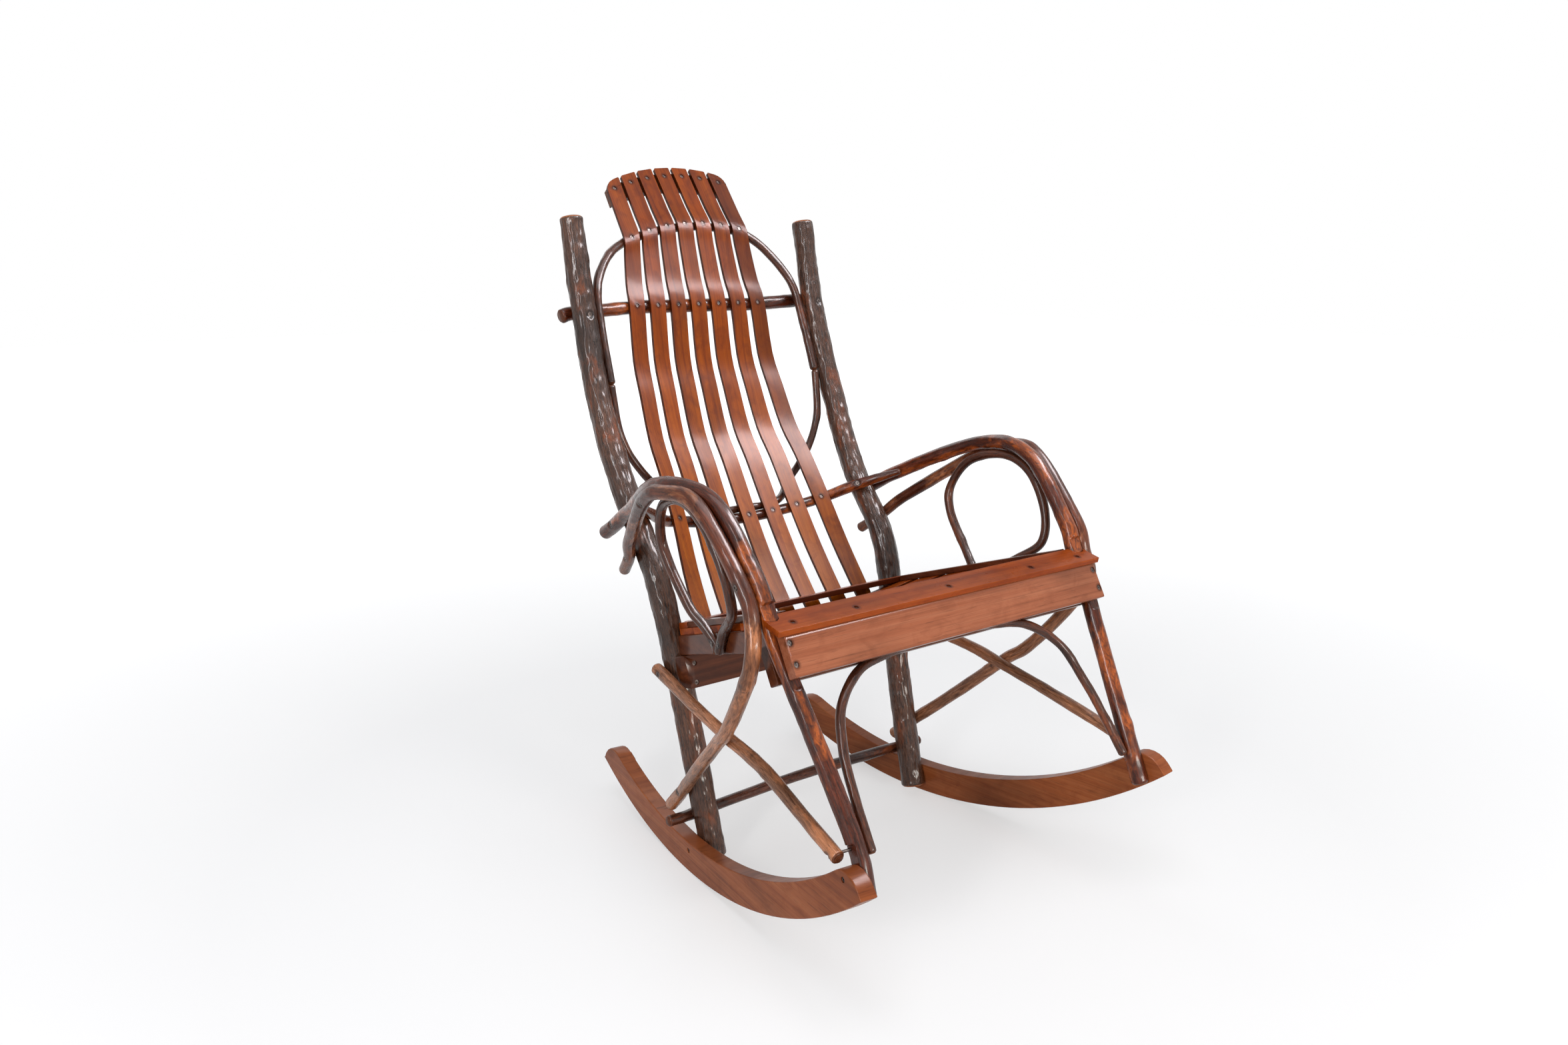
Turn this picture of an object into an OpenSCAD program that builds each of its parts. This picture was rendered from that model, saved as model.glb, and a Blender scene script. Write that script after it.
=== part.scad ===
// Bentwood rocking chair: bent saplings screwed together, with sawn rockers and a slatted seat and back.
// Millimetres. X to the right as seen from the front, Y to the rear, Z up from the floor.
// The origin is on the floor, in the middle, under the line where the rockers touch it.

/* [Rockers] */
// Radius of the bottom edge
rocker_radius = 815; // [780:5:880]
// Thickness of the board
rocker_thickness = 27; // [22:1:32]
// Depth of the board between its bottom and top edges
rocker_depth = 52; // [46:1:58]
// Reach of the front tip ahead of the line of contact
rocker_front_reach = 527; // [500:1:545]
// Reach of the rear end behind the line of contact
rocker_rear_reach = 330; // [300:2:380]
// Half the distance between the rockers at the line of contact
rocker_half_gauge = 259; // [254:1:264]
// Angle by which each rocker runs inwards towards the rear
rocker_toe_in = 6.4; // [5.5:0.1:7]
// Radius of the rounded front end
rocker_front_nose = 38; // [20:1:44]
// Radius of the rounded rear end
rocker_rear_nose = 50; // [30:1:54]

/* [Back posts] */
// Diameter of a post up to the middle of the back
post_diameter = 44; // [38:1:46]
// Diameter of a post at its top
post_top_diameter = 41; // [36:1:44]
// Height of the post tops above the floor
post_height = 1066; // [1040:2:1100]
// Half the distance between the posts at the arms
post_half_gauge = 252; // [248:1:256]
// Height of the posts' feet above the floor
post_foot_height = 16; // [10:1:24]

/* [Arms and legs] */
// Diameter of a leg where it passes the seat
leg_diameter = 27; // [24:0.5:30]
// Diameter of the same stick at its rear end, past the arm
arm_end_diameter = 25; // [22:0.5:27]
// Angle of the legs forward from the vertical, which the apron follows
leg_rake = 28.7; // [27:0.1:30]
// Half the distance between the legs at the seat
leg_half_gauge = 318; // [316:1:324]
// Height of the legs' feet above the floor
leg_foot_height = 171; // [166:1:180]
// Height of the arms above the floor, to the middle of the stick
arm_height = 676; // [660:1:700]
// Diameter of a side bow where it runs beside the arm
bow_diameter = 24; // [21:0.5:26]
// Diameter of a side bow at its ends
bow_end_diameter = 20; // [18:0.5:22]
// Diameter of an arm ring
ring_diameter = 16; // [14:0.5:18]
// Diameter of a side brace
brace_diameter = 20.5; // [18:0.5:23]

/* [Cross sticks] */
// Diameter of the rear stretcher
stretcher_diameter = 19.4; // [17:0.2:22]
// Height of the rear stretcher above the floor
stretcher_height = 77; // [72:1:110]
// Half the length of the rear stretcher
stretcher_half_length = 288; // [280:1:300]
// Diameter of the middle back rod
mid_rod_diameter = 25.2; // [20:0.2:27]
// Half the length of the middle back rod
mid_rod_half_length = 282; // [275:1:300]
// Diameter of the arm cross bow
cross_bow_diameter = 20.5; // [18:0.5:23]
// Diameter of the tapered ends of the arm cross bow
cross_bow_tip_diameter = 11; // [9:0.5:14]
// Diameter of the upper back hoop
upper_hoop_diameter = 16.4; // [14:0.2:18]
// Diameter of the lower back hoop
lower_hoop_diameter = 14.7; // [13:0.2:17]
// Height at which the two back hoops meet end to end
hoop_joint_height = 782; // [770:1:800]
// Diameter of the front hoop
front_hoop_diameter = 14.7; // [13:0.2:17]

/* [Seat] */
// Fall of the seat towards the rear
seat_tilt = 18; // [17:0.1:19]
// Height of the side rails' top edge at their front
seat_rail_height = 496; // [490:1:500]
// Half the width of the seat at its front
seat_half_width = 303; // [300:1:306]
// Angle by which each side of the seat runs inwards towards the rear
seat_taper = 10.7; // [10:0.1:11.2]
// Dip of the seat slats in the middle
seat_dish = 20; // [12:1:22]
// Thickness of the seat slats
seat_slat_thickness = 10.5; // [8:0.5:12]
// Width of the seat slats
seat_slat_width = 51; // [44:1:54]
// Distance from one seat slat to the next
seat_slat_pitch = 59; // [58:0.5:60]
// Thickness of the side rails
side_rail_thickness = 20; // [16:1:24]
// Depth of the side rails
side_rail_depth = 33; // [30:1:38]
// Width of the centre rail
centre_rail_width = 40; // [30:1:50]
// Width of the side strips on the slats' ends
strip_width = 20; // [16:1:24]
// Height of the side strips
strip_height = 10.5; // [8:0.5:12]
// Thickness of the front slat
front_slat_thickness = 9; // [7:0.5:11]
// Width of the front slat
front_slat_width = 45; // [42:1:48]
// Half the length of the front slat
front_slat_half_length = 333; // [332:1:340]
// Fall of the front slat towards the front
front_slat_tilt = 13; // [11:0.5:15]
// Thickness of the apron
apron_thickness = 18; // [16:0.5:20]
// Height of the apron along its slope
apron_width = 58; // [54:1:64]
// Half the length of the apron
apron_half_length = 322; // [320:1:332]
// Half the length of the front seat rail behind the apron
front_rail_half_length = 326; // [322:1:334]
// Thickness of the front seat rail
front_rail_thickness = 20; // [16:1:24]
// Width of the front seat rail along its slope
front_rail_width = 57; // [52:1:66]
// Thickness of the rear seat rail
rear_rail_thickness = 20; // [16:1:24]
// Height of the rear seat rail
rear_rail_width = 51; // [44:1:56]
// Half the length of the rear seat rail
rear_rail_half_length = 258; // [252:1:266]
// Thickness of the rear seat board
rear_board_thickness = 10; // [8:0.5:12]
// Width of the rear seat board
rear_board_width = 49; // [46:1:50]

/* [Back slats] */
// Width of a back slat
slat_width = 32; // [28:0.5:34]
// Thickness of a back slat
slat_thickness = 6.5; // [5:0.5:9]
// Rise of the middle slat's top above the outer ones
crest_arch = 17; // [8:1:20]
// Rise of the right-hand slat's top, and fall of the left-hand one's, above and below level
crest_slant = 9; // [0:1:12]
// Height of the crest rail
crest_height = 36; // [24:1:38]
// Thickness of the crest rail
crest_thickness = 14; // [10:1:18]
// Length of the crest rail past the middle line of the outer slats
crest_overhang = 12; // [8:1:24]

/* [Screws] */
// Diameter of the slat screws' heads
slat_screw_head = 6.6; // [5:0.2:7]
// Diameter of the frame screws' heads
frame_screw_head = 8.4; // [7:0.2:9]
// Diameter of the slat screws' shanks
slat_screw_shank = 3.4; // [3:0.1:4]
// Diameter of the frame screws' shanks
frame_screw_shank = 4.4; // [4:0.1:5]
// Depth by which the heads lie below the surface
screw_sink = 1.6; // [0.8:0.1:2.4]

/* [Hidden] */

// Clearance between pieces that lie against each other
fit = 0.2;
// Clearance round a screw in its hole
screw_fit = 0.15;
// Y of the front of the seat, where its width is measured, and of the middle of its first slat
seat_front = -289;
first_slat_y = -286;
// Reach of the side rails past the ends of the slats
rail_ledge = 5;
// Point on the middle line of the legs at the seat
leg_ref_y = -331.8;
leg_ref_z = 475;
// Sides of the sticks and steps between two points of their routes
stick_sides = 14;
thin_sides = 10;
stick_steps = 4;
// Bevel round the ends of the sticks
end_bevel = 3;
$fn = 48;

function unit(v) = v / norm(v);
function mid(a, b) = (a + b) / 2;

// Point at t of 0 to 1 between b and c on a smooth curve through a, b, c and d
function blend_point(a, b, c, d, t) =
    0.5 * (2 * b + (c - a) * t + (2 * a - 5 * b + 4 * c - d) * t * t + (3 * b - a - 3 * c + d) * t * t * t);

// Smooth curve through a list of points, or of any other equally long lists of numbers
function smooth(p, steps) =
    let (n = len(p), q = concat([2 * p[0] - p[1]], p, [2 * p[n - 1] - p[n - 2]]))
    [for (i = [0 : n - 2], s = [0 : i == n - 2 ? steps : steps - 1])
        blend_point(q[i], q[i + 1], q[i + 2], q[i + 3], s / steps)];

function tangents(c) =
    let (n = len(c))
    [for (i = [0 : n - 1]) unit(c[min(i + 1, n - 1)] - c[max(i - 1, 0)])];

// Cross direction carried along a curve without twisting
function carried(t, side, i = 0) =
    i == len(t) ? [] :
    let (s = unit(side - (side * t[i]) * t[i]))
    concat([s], carried(t, s, i + 1));

// A point limited by flats: [a point on the flat, its outward direction, its reach, the half of the stick]
function pared(p, centre, half, flats, i = 0) =
    i == len(flats) ? p :
    let (f = flats[i],
        over = (p - f[0]) * f[1],
        near = norm(centre - f[0]) < f[2] && (f[3] == 2 || f[3] == half))
    pared(near && over > 0 ? p - over * f[1] : p, centre, half, flats, i + 1);

// Round stick along points given as [x, y, z, diameter], with bevelled ends and pared flats
module stick(route, sides = stick_sides, flats = [], steps = stick_steps) {
    path = smooth(route, steps);
    raw = [for (p = path) [p.x, p.y, p.z]];
    t = tangents(raw);
    last = len(raw) - 1;
    centres = concat([raw[0], raw[0] + end_bevel * t[0]],
        [for (i = [1 : last - 1]) raw[i]],
        [raw[last] - end_bevel * t[last], raw[last]]);
    radii = concat([path[0][3] / 2 - end_bevel, path[0][3] / 2],
        [for (i = [1 : last - 1]) path[i][3] / 2],
        [path[last][3] / 2, path[last][3] / 2 - end_bevel]);
    ways = concat([t[0]], t, [t[last]]);
    side = carried(ways, abs(ways[0].x) > 0.9 ? [0, 0, 1] : [1, 0, 0]);
    rings = len(centres);
    points = concat(
        [for (i = [0 : rings - 1], k = [0 : sides - 1])
            let (a = 360 * k / sides, up = cross(ways[i], side[i]))
            pared(centres[i] + radii[i] * (cos(a) * side[i] + sin(a) * up),
                centres[i], 2 * i < rings ? 0 : 1, flats)],
        [centres[0], centres[rings - 1]]);
    walls = [for (i = [0 : rings - 2], k = [0 : sides - 1])
        let (a = i * sides + k, b = i * sides + (k + 1) % sides)
        each [[a, a + sides, b], [b, a + sides, b + sides]]];
    foot = [for (k = [0 : sides - 1]) [rings * sides, k, (k + 1) % sides]];
    top = [for (k = [0 : sides - 1])
        [rings * sides + 1, (rings - 1) * sides + (k + 1) % sides, (rings - 1) * sides + k]];
    polyhedron(points, concat(walls, foot, top), convexity = 10);
}

// Flat strip along a list of [centre, width direction, thickness direction, width one way, and the other way]
module ribbon(rings, thickness) {
    n = len(rings);
    points = [for (r = rings, c = [[1, 1], [-1, 1], [-1, -1], [1, -1]])
        r[0] + (c[0] > 0 ? r[3] : -r[4]) * r[1] + c[1] * thickness / 2 * r[2]];
    walls = [for (i = [0 : n - 2], k = [0 : 3])
        let (a = i * 4 + k, b = i * 4 + (k + 1) % 4)
        each [[a, a + 4, b], [b, a + 4, b + 4]]];
    ends = [[0, 1, 2], [0, 2, 3], [n * 4 - 4, n * 4 - 2, n * 4 - 3], [n * 4 - 4, n * 4 - 1, n * 4 - 2]];
    polyhedron(points, concat(walls, ends), convexity = 10);
}

module mirrored(left) {
    if (left) mirror([1, 0, 0]) children();
    else children();
}

// Children moved to a point, with their Z axis along a direction
module aimed(at, way) {
    translate(at) rotate([0, acos(way.z), atan2(way.y, way.x)]) children();
}

// Height of the seat plane, where the side rails' top edges lie
function seat_z(y) = seat_rail_height - tan(seat_tilt) * (y - seat_front);

// Half the width of the seat, to the ends of its slats
function seat_x(y) = seat_half_width - tan(seat_taper) * (y - seat_front);

// Outer face of a side rail
function rail_x(y) = seat_x(y) + rail_ledge;

// Point in the sloping frame of the legs: v up along the leg, w out towards the front
function leg_point(v, w) =
    [leg_ref_y + v * sin(leg_rake) - w * cos(leg_rake), leg_ref_z + v * cos(leg_rake) + w * sin(leg_rake)];

// Y of the legs' middle line at a height
function leg_y(z) = leg_ref_y + tan(leg_rake) * (z - leg_ref_z);

// Point where the plane w of the legs' frame meets the seat plane lowered by a distance square to it
function seat_meet(w, below) =
    let (p = leg_point(0, w), drop = below / cos(seat_tilt))
    leg_point((seat_z(p.x) - drop - p.y) / (cos(leg_rake) + tan(seat_tilt) * sin(leg_rake)), w);

// Faces of a rocker: 1 for its outer face, -1 for its inner face
function rocker_x(y, side) =
    rocker_half_gauge - tan(rocker_toe_in) * y + side * rocker_thickness / 2 / cos(rocker_toe_in);
rocker_out = unit([1, tan(rocker_toe_in), 0]);

// Point of a route at a given value of one coordinate that only rises or falls along it
function route_at(route, axis, value) =
    let (p = smooth(route, stick_steps))
    [for (k = [0 : 3]) k == axis ? value : lookup(value, [for (q = p) [q[axis], q[k]]])];
function xyz(p) = [p.x, p.y, p.z];

// Rockers

rocker_front_angle = asin(rocker_front_reach / rocker_radius);
rocker_rear_angle = asin(rocker_rear_reach / rocker_radius);
rocker_length = (rocker_front_angle + rocker_rear_angle) * rocker_radius * PI / 180;

// Point of the board at u back from its front end and v up from its bottom edge
function rocker_point(u, v) =
    let (a = u / rocker_radius * 180 / PI - rocker_front_angle, r = rocker_radius - v)
    [r * sin(a), rocker_radius - r * cos(a)];

rocker_margin = 8;
rocker_outline = concat(
    [for (k = [0 : 14]) rocker_point(rocker_length * k / 14, -rocker_margin)],
    [for (a = [0 : 15 : 90])
        rocker_point(rocker_length - rocker_rear_nose * (1 - cos(a)),
            rocker_depth - rocker_rear_nose * (1 - sin(a)))],
    [for (k = [13 : -1 : 1]) rocker_point(rocker_length * k / 14, rocker_depth + rocker_margin)],
    [for (a = [90 : -15 : 0])
        rocker_point(rocker_front_nose * (1 - cos(a)), rocker_depth - rocker_front_nose * (1 - sin(a)))]);

module rocker_board() {
    translate([rocker_half_gauge, 0, 0]) rotate([0, 0, rocker_toe_in]) rotate([90, 0, 90])
        linear_extrude(rocker_thickness, center = true)
            intersection() {
                translate([0, rocker_radius]) difference() {
                    circle(rocker_radius, $fn = 360);
                    circle(rocker_radius - rocker_depth, $fn = 360);
                }
                polygon(rocker_outline);
            }
}

// Sticks, each as points with a diameter; they are those of the right-hand side

post_shift = post_half_gauge - 252;
foot_y = -30;
foot_pare = 2;
post_foot_x = rocker_x(foot_y, -1) - post_diameter / 2 + foot_pare;
post_route = [
    [post_foot_x, foot_y, post_foot_height, post_diameter],
    [post_foot_x + 2, foot_y + 13, 66, post_diameter],
    [238 + post_shift, 36, 265, post_diameter],
    [251 + post_shift, 89, 463, post_diameter],
    [252 + post_shift, 183, 595, post_diameter],
    [257 + post_shift, 259, 744, post_diameter],
    [253 + post_shift, 316, 911, mid(post_diameter, post_top_diameter)],
    [253 + post_shift, 350, post_height, post_top_diameter]];
function post(z) = route_at(post_route, 2, z);

// Shift of the points at the arms when the arms are set higher or lower
arm_lift = arm_height - 680;
arm_diameter = mid(leg_diameter, arm_end_diameter);
leg_foot_pare = 5;
leg_foot_y = -490;
leg_foot_x = rocker_x(leg_foot_y, -1) - leg_diameter / 2 + leg_foot_pare;
leg_shift = leg_half_gauge - 318;
arm_post = post(566 + arm_lift);
arm_route = [
    [leg_foot_x, leg_foot_y, leg_foot_height, leg_diameter + 1],
    [leg_foot_x - 2, leg_y(232), 232, leg_diameter + 1],
    [302 + leg_shift, leg_y(349), 349, leg_diameter],
    [318 + leg_shift, leg_y(475), 475, leg_diameter],
    [320 + leg_shift, leg_y(518), 518, leg_diameter],
    [322 + leg_shift, leg_y(567) - 2, 567, leg_diameter],
    [330 + leg_shift, -193, arm_height - 13, arm_diameter],
    [343 + leg_shift, -66, arm_height - 7, arm_diameter],
    [296 + leg_shift, 98, 602 + arm_lift, arm_diameter],
    [arm_post.x + (post_diameter + arm_end_diameter) / 2 + fit, 164, 566 + arm_lift, arm_end_diameter],
    [284 + post_shift, 208, 542 + arm_lift, arm_end_diameter]];
function arm(y) = route_at(arm_route, 1, y);
function leg(z) = arm(leg_y(z));

brace_post = post(327);
brace_leg = leg(222);
brace_route = [
    [brace_post.x + (post_diameter + brace_diameter) / 2 + fit, 68, 332, brace_diameter],
    [brace_post.x + (post_diameter + brace_diameter) / 2 + fit, brace_post.y - 2, 327, brace_diameter],
    [281, -30, 313, brace_diameter],
    [290, -121, 300, brace_diameter],
    [292, -173, 290, brace_diameter],
    [294, -263, 273, brace_diameter],
    [brace_leg.x + (leg_diameter + brace_diameter) / 2 - 3, -415, 233, brace_diameter],
    [brace_leg.x + (leg_diameter + 1 + brace_diameter) / 2 + fit, -457, 221, brace_diameter]];

bow_low_diameter = bow_diameter - 1.5;
bow_high = post(521 + arm_lift);
bow_foot = post(132);
bow_arm_way = unit([0.747, -0.04, -0.664]);
beside_leg = (leg_diameter + bow_diameter) / 2 + fit;
beside_arm = (arm_diameter + bow_diameter) / 2 + fit;
bow_route = [
    [bow_high.x + 14, bow_high.y + 55, 479 + arm_lift, bow_end_diameter],
    [each xyz(bow_high) + ((post_diameter + bow_end_diameter) / 2 + fit) * unit([0.955, 0.24, -0.18]),
        bow_end_diameter],
    [305, 88, 555 + arm_lift, bow_low_diameter],
    [each xyz(arm(-51)) + (beside_arm + 0.8) * bow_arm_way, bow_diameter],
    [arm(-120).x + beside_arm + 1, -120, arm(-120).z - 6, bow_diameter],
    [arm(-193).x + beside_arm + 0.3, -190, arm(-193).z - 3, bow_diameter],
    [arm(-283).x + beside_leg, -283, 567, bow_diameter],
    [leg(517).x + beside_leg, -307, 517, bow_diameter],
    [352 + leg_shift, -311, 452, bow_diameter],
    [328, -221, 331, bow_low_diameter],
    [292 + (brace_diameter + bow_low_diameter) / 2 + fit, -173, 290, bow_low_diameter],
    [293, -88, 214, bow_low_diameter],
    [bow_foot.x + (post_diameter + bow_low_diameter) / 2 + fit, bow_foot.y + 4, 132, bow_low_diameter],
    [256, 58, 84, bow_low_diameter]];

ring_top_gap = (arm_diameter + ring_diameter) / 2 + fit;
ring_side = ring_diameter / 2 + 2 * fit;
ring_tip_y = -139.4;
ring_tip_z = 412;
ring_route = [
    [rail_x(-137) + ring_side, -137, 414.8, ring_diameter],
    [rail_x(-126) + ring_side, -126, 428, ring_diameter],
    [291, -104, 452, ring_diameter],
    [300, -78, 477, ring_diameter],
    [306, -30, 540, ring_diameter],
    [314, -22, 590 + arm_lift, ring_diameter],
    [328, -55, 640 + arm_lift, ring_diameter],
    [arm(-126).x, -126, arm(-126).z - ring_top_gap, ring_diameter],
    [343 + leg_shift, -185, 635 + arm_lift, ring_diameter],
    [338 + leg_shift, -226, 575 + arm_lift, ring_diameter],
    [327, -232, 516, ring_diameter],
    [307, -197, 484, ring_diameter],
    [rail_x(-163) + ring_side, -163, 459, ring_diameter],
    [rail_x(-149) + ring_side, -149, 434, ring_diameter],
    [rail_x(-142) + ring_side, -141.5, 416.8, ring_diameter]];

// Front hoop, in the plane of the legs, from the front rail down to the legs' inner sides
front_rail_front = -leg_diameter / 2 + 0.5;
front_rail_back = front_rail_front - front_rail_thickness;
hoop_w = front_rail_front + front_hoop_diameter / 2 + fit;
function hoop_point(x, z, w) =
    let (p = leg_point((z - leg_ref_z - w * sin(leg_rake)) / cos(leg_rake), w)) [x, p.x, p.y];
hoop_leg = leg(222);
hoop_end_x = hoop_leg.x - (leg_diameter + 1 + front_hoop_diameter) / 2 - fit;
hoop_marks = [
    [-hoop_end_x, 220, 0],
    [-268, 282, 0.2],
    [-262, 338, 0.5],
    [-241, 392, 0.8],
    [-186, 430, 1],
    [-104, 442, 1],
    [-12, 446, 1],
    [80, 442, 1],
    [160, 429, 1],
    [216, 391, 0.8],
    [239, 338, 0.5],
    [255, 282, 0.2],
    [hoop_end_x, 220, 0]];
front_hoop_route = [for (m = hoop_marks) [each hoop_point(m[0], m[1], hoop_w * m[2]), front_hoop_diameter]];

// The right half of a stick's points made whole, with its middle point between
function mirrored_route(middle, half) = concat(
    [for (k = [len(half) - 1 : -1 : 0]) [-half[k][0], half[k][1], half[k][2], half[k][3]]], [middle], half);

lean = 0.967;
function behind_post(z, d) = post(z).y + (post(z)[3] + d) / 2 / lean + fit;
stretcher_y = behind_post(stretcher_height, stretcher_diameter);
stretcher_half = [
    [post(stretcher_height).x, stretcher_y, stretcher_height, stretcher_diameter],
    [stretcher_half_length, stretcher_y, stretcher_height, stretcher_diameter]];

// Back slats

slat_foot_way = 14.8;
function post_front(z) = post(z).y - post_diameter / 2 / lean - fit;
rear_rail_top_y = post_front(seat_below(37, side_rail_depth));
// Room for the slight curve of the posts and slats behind the straight rear rail
rear_rail_ease = 1.1;
rear_rail_foot_z = seat_below(rear_rail_top_y, side_rail_depth) - rear_rail_width * lean;
function slat_foot_y(z) = post_front(z) + slat_thickness / 2 / lean + fit;

// Rows up the outer slats: y, z, hollow of the back there, and x
slat_rows = [
    [slat_foot_y(308), 308, 0, 181],
    [slat_foot_y(338), 338, 0, 179],
    [55, 372, 6, 177],
    [77.5, 404, 12, 174.5],
    [123, 472, 19, 168],
    [169.6, 553, 25, 159.5],
    [219, 629, 22, 154],
    [258, 681, 18, 149],
    [294, 757, 12, 143],
    [320, 816, 7, 139],
    [338.3, 912.8, 3, 134],
    [355, 954, 3, 129],
    [370, 1011, 6, 122],
    [376.4, 1042, 8, 119],
    [399.5, 1073, 10.5, 117],
    [441, 1129.5, 12.7, 115]];
cross_bow_height = 553;
cross_bow_sag = 17;
mid_rod_row = 10;
hoop_row = 13;
top_row = 15;
slat_steps = 3;
slat_count = 7;
slat_curve = smooth(slat_rows, slat_steps);
slat_top_margin = 19;

function arch_ramp(z) = max(0, min(1, (z - 915) / 125));

// Point of the back at u of -1 to 1 across it, on a row
function back_point(u, r) = [
    u * r[3],
    r[0] + r[2] * (1 - u * u),
    r[1] + arch_ramp(r[1]) * (crest_arch * (1 - u * u) + crest_slant * u)];

// Frame of the back at u on a row: its point, then the ways across, up, to the rear and along the row
function row_frame(u, r, row_below, row_above) =
    let (up = unit(back_point(u, row_above) - back_point(u, row_below)),
        across = [1, -2 * r[2] * u / r[3], arch_ramp(r[1]) * (crest_slant - 2 * crest_arch * u) / r[3]],
        w = unit(across - (across * up) * up))
    [back_point(u, r), w, up, cross(up, w), w + (across * up) / (across * w) * up];

// The same on row k of the curve, and at a height
function back_frame(u, k) =
    row_frame(u, slat_curve[k], slat_curve[max(0, k - 1)], slat_curve[min(len(slat_curve) - 1, k + 1)]);
function row_at(z) = [for (k = [0 : 3]) k == 1 ? z : lookup(z, [for (r = slat_curve) [r[1], r[k]]])];
function frame_at(u, z) = row_frame(u, row_at(z), row_at(z - 8), row_at(z + 8));

// Point behind the back at a frame, or at u on a row of the list, for the middle of a stick
function behind_frame(f, d) = f[0] + (slat_thickness / 2 + d / 2 + fit) * f[3];
function behind_back(u, row, d) = behind_frame(back_frame(u, row * slat_steps), d);

// Frame of the back where the cross bow, which sags towards its middle, is screwed to it
function cross_bow_frame(u) = frame_at(u, cross_bow_height - cross_bow_sag * (1 - u * u));
function cross_bow_point(u) = [each behind_frame(cross_bow_frame(u), cross_bow_diameter), cross_bow_diameter];

// The middle rod runs down a little towards its left end
mid_rod_heights = [897, 903, 914, 917];
function rod_behind_post(side, z) = [side * post(z).x, behind_post(z, mid_rod_diameter), z, mid_rod_diameter];
function rod_end(side, z) =
    [side * mid_rod_half_length, behind_post(z, mid_rod_diameter) + 1, z, mid_rod_diameter];
mid_rod_route = concat(
    [rod_end(-1, mid_rod_heights[0]), rod_behind_post(-1, mid_rod_heights[1])],
    [for (k = [-3 : 3]) [each behind_back(k / 3, mid_rod_row, mid_rod_diameter), mid_rod_diameter]],
    [rod_behind_post(1, mid_rod_heights[2]), rod_end(1, mid_rod_heights[3])]);

function inside_post(z, d) = post(z).x - (post(z)[3] + d) / 2 - fit;
function upper_hoop_side(side) = [
    [side * 175, 364, 1005 + crest_slant * side / 2, upper_hoop_diameter],
    [side * 214, 335, 950, upper_hoop_diameter],
    [side * (inside_post(877, upper_hoop_diameter) - 0.5), 309, 877, upper_hoop_diameter],
    [side * inside_post(hoop_joint_height, upper_hoop_diameter), post(hoop_joint_height).y + 1,
        hoop_joint_height + fit, upper_hoop_diameter]];
upper_hoop_left = upper_hoop_side(-1);
upper_hoop_route = concat(
    [for (k = [3 : -1 : 0]) upper_hoop_left[k]],
    [for (u = [-1.13, -1, -2 / 3, -1 / 3, 0, 1 / 3, 2 / 3, 1, 1.13])
        [each behind_back(u, hoop_row, upper_hoop_diameter), upper_hoop_diameter]],
    upper_hoop_side(1));

cross_bow_half = [
    cross_bow_point(1 / 3),
    cross_bow_point(2 / 3),
    cross_bow_point(1),
    cross_bow_point(1.12),
    [each xyz(post(561)) - ((post_diameter + cross_bow_diameter) / 2 + fit) * unit([0.73, 0.55, -0.39]),
        cross_bow_diameter],
    [each xyz(arm(82)) - ((arm_diameter + cross_bow_tip_diameter) / 2 + fit) * unit([0.97, 0.05, 0.22]),
        cross_bow_tip_diameter]];

// The lower hoop rests on the cross bow
hoop_rest = ((cross_bow_diameter + lower_hoop_diameter) / 2 + fit) * unit([0, 0.53, 0.85]);
lower_hoop_middle = [each xyz(cross_bow_point(0)) + 1.03 * hoop_rest, lower_hoop_diameter];
lower_hoop_half = [
    [each xyz(cross_bow_point(0.48)) + 1.12 * hoop_rest, lower_hoop_diameter],
    [135, 238, 578, lower_hoop_diameter],
    [189, 249, 632, lower_hoop_diameter],
    [inside_post(697, lower_hoop_diameter) - 6, 259, 697, lower_hoop_diameter],
    [inside_post(hoop_joint_height - 2, lower_hoop_diameter), post(hoop_joint_height - 2).y + 1,
        hoop_joint_height - fit, lower_hoop_diameter]];

// Distances from a slat's top end at which its outline is drawn, for corners of the given radius
function corner_steps(radius) = [for (a = [0, 25, 45, 65, 90]) radius * (1 - sin(a))];
function corner_inset(radius, e) =
    e >= radius ? 0 : radius - sqrt(radius * radius - (radius - e) * (radius - e));
slat_corner = 3;
outer_slat_corner = 18;

// Rings of a back slat at u across the back, with rounded top corners
function slat_rings(u) =
    let (last = len(slat_curve) - 1, top = back_frame(u, last), half = slat_width / 2,
        right = u > 0.9 ? outer_slat_corner : slat_corner, left = u < -0.9 ? outer_slat_corner : slat_corner)
    concat(
        [for (k = [0 : last]) let (f = back_frame(u, k)) [f[0], f[4], f[3], half, half]],
        [for (e = corner_steps(max(right, left)))
            [top[0] + (slat_top_margin - e) * top[2], top[4], top[3],
                half - corner_inset(right, e), half - corner_inset(left, e)]]);

// Screws

// Half outline of a screw: its head lies below the surface at z of 0 and its point is down
function screw_outline(head, shank, length) = [
    [0, -screw_sink], [head / 2, -screw_sink], [head / 2, -screw_sink - 0.8],
    [shank / 2, -screw_sink - 0.8 - (head - shank) / 2], [shank / 2, -length + shank], [0, -length]];

module screw(at, way, length, head, shank) {
    aimed(at, -way) difference() {
        rotate_extrude($fn = 24) polygon(screw_outline(head, shank, length));
        translate([0, 0, -screw_sink]) cube([head / 4, head / 4, 2], center = true);
    }
}

// Hole for the same screw, a little wider and deeper, open above the surface
module screw_hole(at, way, length, head, shank) {
    open = 6;
    aimed(at, -way) rotate_extrude($fn = 24) polygon([
        [0, open], [head / 2 + screw_fit, open], [head / 2 + screw_fit, -screw_sink - 0.8],
        [shank / 2 + screw_fit, -screw_sink - 0.8 - (head - shank) / 2],
        [shank / 2 + screw_fit, -length - 0.5], [0, -length - 0.5]]);
}

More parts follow.
